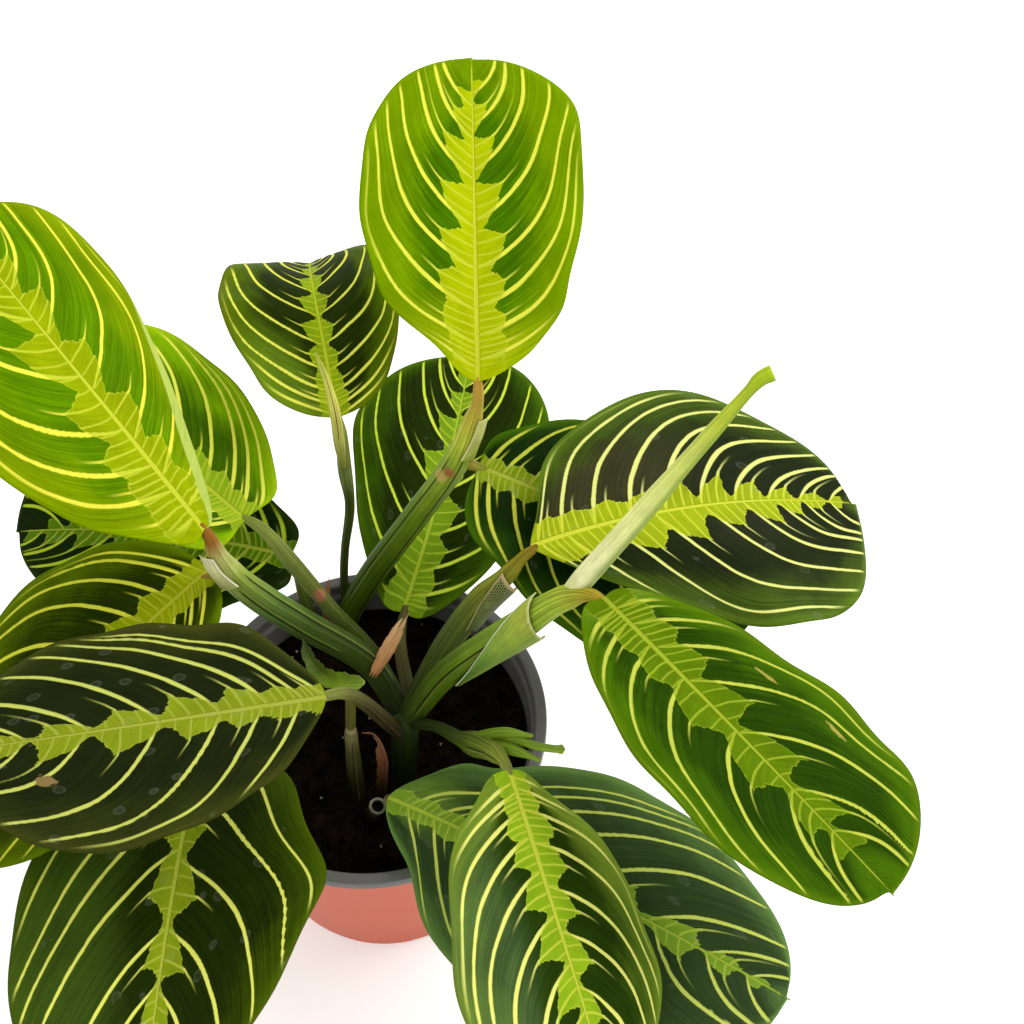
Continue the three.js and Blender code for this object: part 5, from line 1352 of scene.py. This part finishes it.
# Perlite: popped volcanic glass, stained by the compost. To the eye it is dull off-white and pitted; the
# real pits of 0.2 mm are too fine to show and are drawn 0.8 mm wide (scale 1200).
def perliteMaterial():
    made, put, shader = material("perlite grain", 0.85, 1.5)
    fine = put("TexNoise", put("TexCoord").other("Object"), 1200.0, 3.0)
    colour = put("Mix", fine, linear("#c4bea8"), linear("#94886c"), **blended)
    finishMaterial(shader, colour, None, fine, 0.2, 0.8)
    return made


# each wave has its pitch per mm, its heading and its phase
lumpWaves = [[rng.uniform(0.08, 0.9), rng.uniform(0, 2 * np.pi), rng.uniform(0, 2 * np.pi)]
             for _ in range(soil["waves"])]


# height of the lumps over the compost's level, in mm
def lumpHeight(x, y):
    total = 0
    for pitch, heading, phase in lumpWaves:
        onward = x * math.cos(heading) + y * math.sin(heading)
        total = total + np.sin(pitch * onward + phase) * 0.24 / (0.5 + pitch)
    return np.clip(total, -soil["lump"], soil["lump"]) * 0.75


# how far the compost reaches at a height, short of the pot's inner wall
def compostReach(z):
    low, high = pot["baseRadius"] - pot["wall"] + 0.2, pot["topRadius"] - pot["wall"] - 0.8
    climbed = (z - pot["floorTop"]) / (pot["height"] - pot["shoulder"] - pot["floorTop"])
    return low + (high - low) * climbed - soil["gap"]


# the lumpy top in rings from the middle out, then down the wall to a flat foot
def buildCompost():
    rings, sides = soil["rings"], soil["sides"]
    angle = 2 * np.pi * np.arange(sides) / sides
    grid = [np.array([[0.0, 0.0, soil["level"]]])]
    for i in range(1, rings + 1):
        share = i / rings
        r = compostReach(soil["level"]) * i / rings
        x, y = r * np.cos(angle), r * np.sin(angle)
        z = soil["level"] + lumpHeight(x, y) * (1 - smooth(0.93, 1, share)) - 0.8 * smooth(0.9, 1, share)
        if i < rings:
            z = z + rng.uniform(-soil["rough"], soil["rough"], sides)
        grid.append(np.stack([x, y, z], -1))
    foot = pot["floorTop"] + 0.3
    r = compostReach(foot)
    grid.append(np.stack([r * np.cos(angle), r * np.sin(angle), np.full(sides, foot)], -1))
    grid.append(np.array([[0.0, 0.0, foot]]))

    def at(i, j):
        return 1 + (i - 1) * sides + j % sides

    faces = []
    for j in range(sides):
        faces.append((0, at(1, j), at(1, j + 1)))
        faces.append((at(rings + 1, j + 1), at(rings + 1, j), at(rings + 1, sides - 1) + 1))
        for i in range(1, rings + 1):
            faces.append((at(i, j), at(i + 1, j), at(i + 1, j + 1), at(i, j + 1)))
    addPiece("compost", np.concatenate(grid), faces, [soilMaterial()], node="soil")


buildCompost()

grainCorners = np.array([[1, 0, 0], [-1, 0, 0], [0, 1, 0], [0, -1, 0], [0, 0, 1], [0, 0, -1]], float)
grainFaces = [(0, 2, 4), (2, 1, 4), (1, 3, 4), (3, 0, 4), (2, 0, 5), (1, 2, 5), (3, 1, 5), (0, 3, 5)]


# loose grains strewn over the compost: sizes in mm, sink is how far each stands out as a share of its size
def scatterGrains(name, look, made):
    points, faces = [], []
    while len(points) < look["count"]:
        x, y = rng.uniform(-look["reach"], look["reach"], 2)
        if math.hypot(x, y) > look["reach"]:
            continue
        size = rng.uniform(look["low"], look["high"])
        turn = np.linalg.qr(rng.normal(size=(3, 3)))[0]
        grain = grainCorners * rng.uniform(0.55, 1.1, (6, 1)) * size @ turn
        lift = soil["level"] + lumpHeight(np.array(x), np.array(y)) + size * look["sink"]
        start = len(points) * len(grainCorners)
        faces += [tuple(corner + start for corner in face) for face in grainFaces]
        points.append(grain + [x, y, float(lift)])
    addPiece(name, np.concatenate(points), faces, [made])


scatterGrains("compost_crumbs", soil["crumbs"], soilMaterial())
scatterGrains("perlite_grains", soil["perlite"], perliteMaterial())
print("pot and compost built")


# Floor, lamps and camera.

# Paper sweep, white and uncoated. To the eye it has no shine and no edge. It glows a little, painted light
# that washes out the shadows on it so that the floor stays as white as its surroundings; its slow
# unevenness is about 330 mm wide.
def floorMaterial():
    made, put, shader = material("white paper sweep", 0.9, 1.4)
    shade = put("TexNoise", put("TexCoord").other("Object"), 3.0)
    finishMaterial(shader, put("Mix", shade, linear("#fafafa", 1), linear("#f7f7f7", 1), **blended))
    # painted light: a faint glow that lifts the shadows cast on the floor
    shader.inputs["Emission Color"].default_value = linear("#ffffff", 1)
    shader.inputs["Emission Strength"].default_value = 0.3
    return made


floorReach = 6  # metres each way
floorMesh = bpy.data.meshes.new("floor")
floorCorners = [(x * floorReach, y * floorReach, 0) for x, y in ((-1, -1), (1, -1), (1, 1), (-1, 1))]
floorMesh.from_pydata(floorCorners, [], [(0, 1, 2, 3)])
floorMesh.materials.append(floorMaterial())
floor = bpy.data.objects.new("floor", floorMesh)
scene.collection.objects.link(floor)

lamps = {
    "key": dict(at=(1.0, 0.5, 1.3), size=1.2, power=23),
    "fill": dict(at=(-0.8, -0.6, 1.4), size=1.6, power=8),
}
lampAim = np.array([0.0, 0.0, 0.12])  # the middle of the plant
for lampName, lamp in lamps.items():
    light = bpy.data.lights.new(lampName, "AREA")
    light.size, light.energy = lamp["size"], lamp["power"]
    lampObject = bpy.data.objects.new(lampName, light)
    lampObject.location = lamp["at"]
    aim = lampAim - np.array(lamp["at"])
    tilt = math.atan2(math.hypot(aim[0], aim[1]), -aim[2])
    lampObject.rotation_euler = (tilt, 0, math.atan2(aim[1], aim[0]) - math.pi / 2)
    scene.collection.objects.link(lampObject)

world = bpy.data.worlds.new("soft box")
world.use_nodes = True
world.node_tree.nodes["Background"].inputs["Color"].default_value = (1, 1, 1, 1)
world.node_tree.nodes["Background"].inputs["Strength"].default_value = 0.8
scene.world = world
scene.view_settings.view_transform = "Standard"

# the photograph's viewpoint, from above the front, looking down at 54 degrees
camera = dict(lens=52.73, sensor=36, at=(0.048, -0.246, 0.550), tilt=36.1, near=0.01)
eye = bpy.data.cameras.new("eye")
eye.lens, eye.sensor_width, eye.clip_start = camera["lens"], camera["sensor"], camera["near"]
eyeObject = bpy.data.objects.new("eye", eye)
eyeObject.location = camera["at"]
eyeObject.rotation_euler = (math.radians(camera["tilt"]), 0, 0)
scene.collection.objects.link(eyeObject)
scene.camera = eyeObject

print("scene ready")
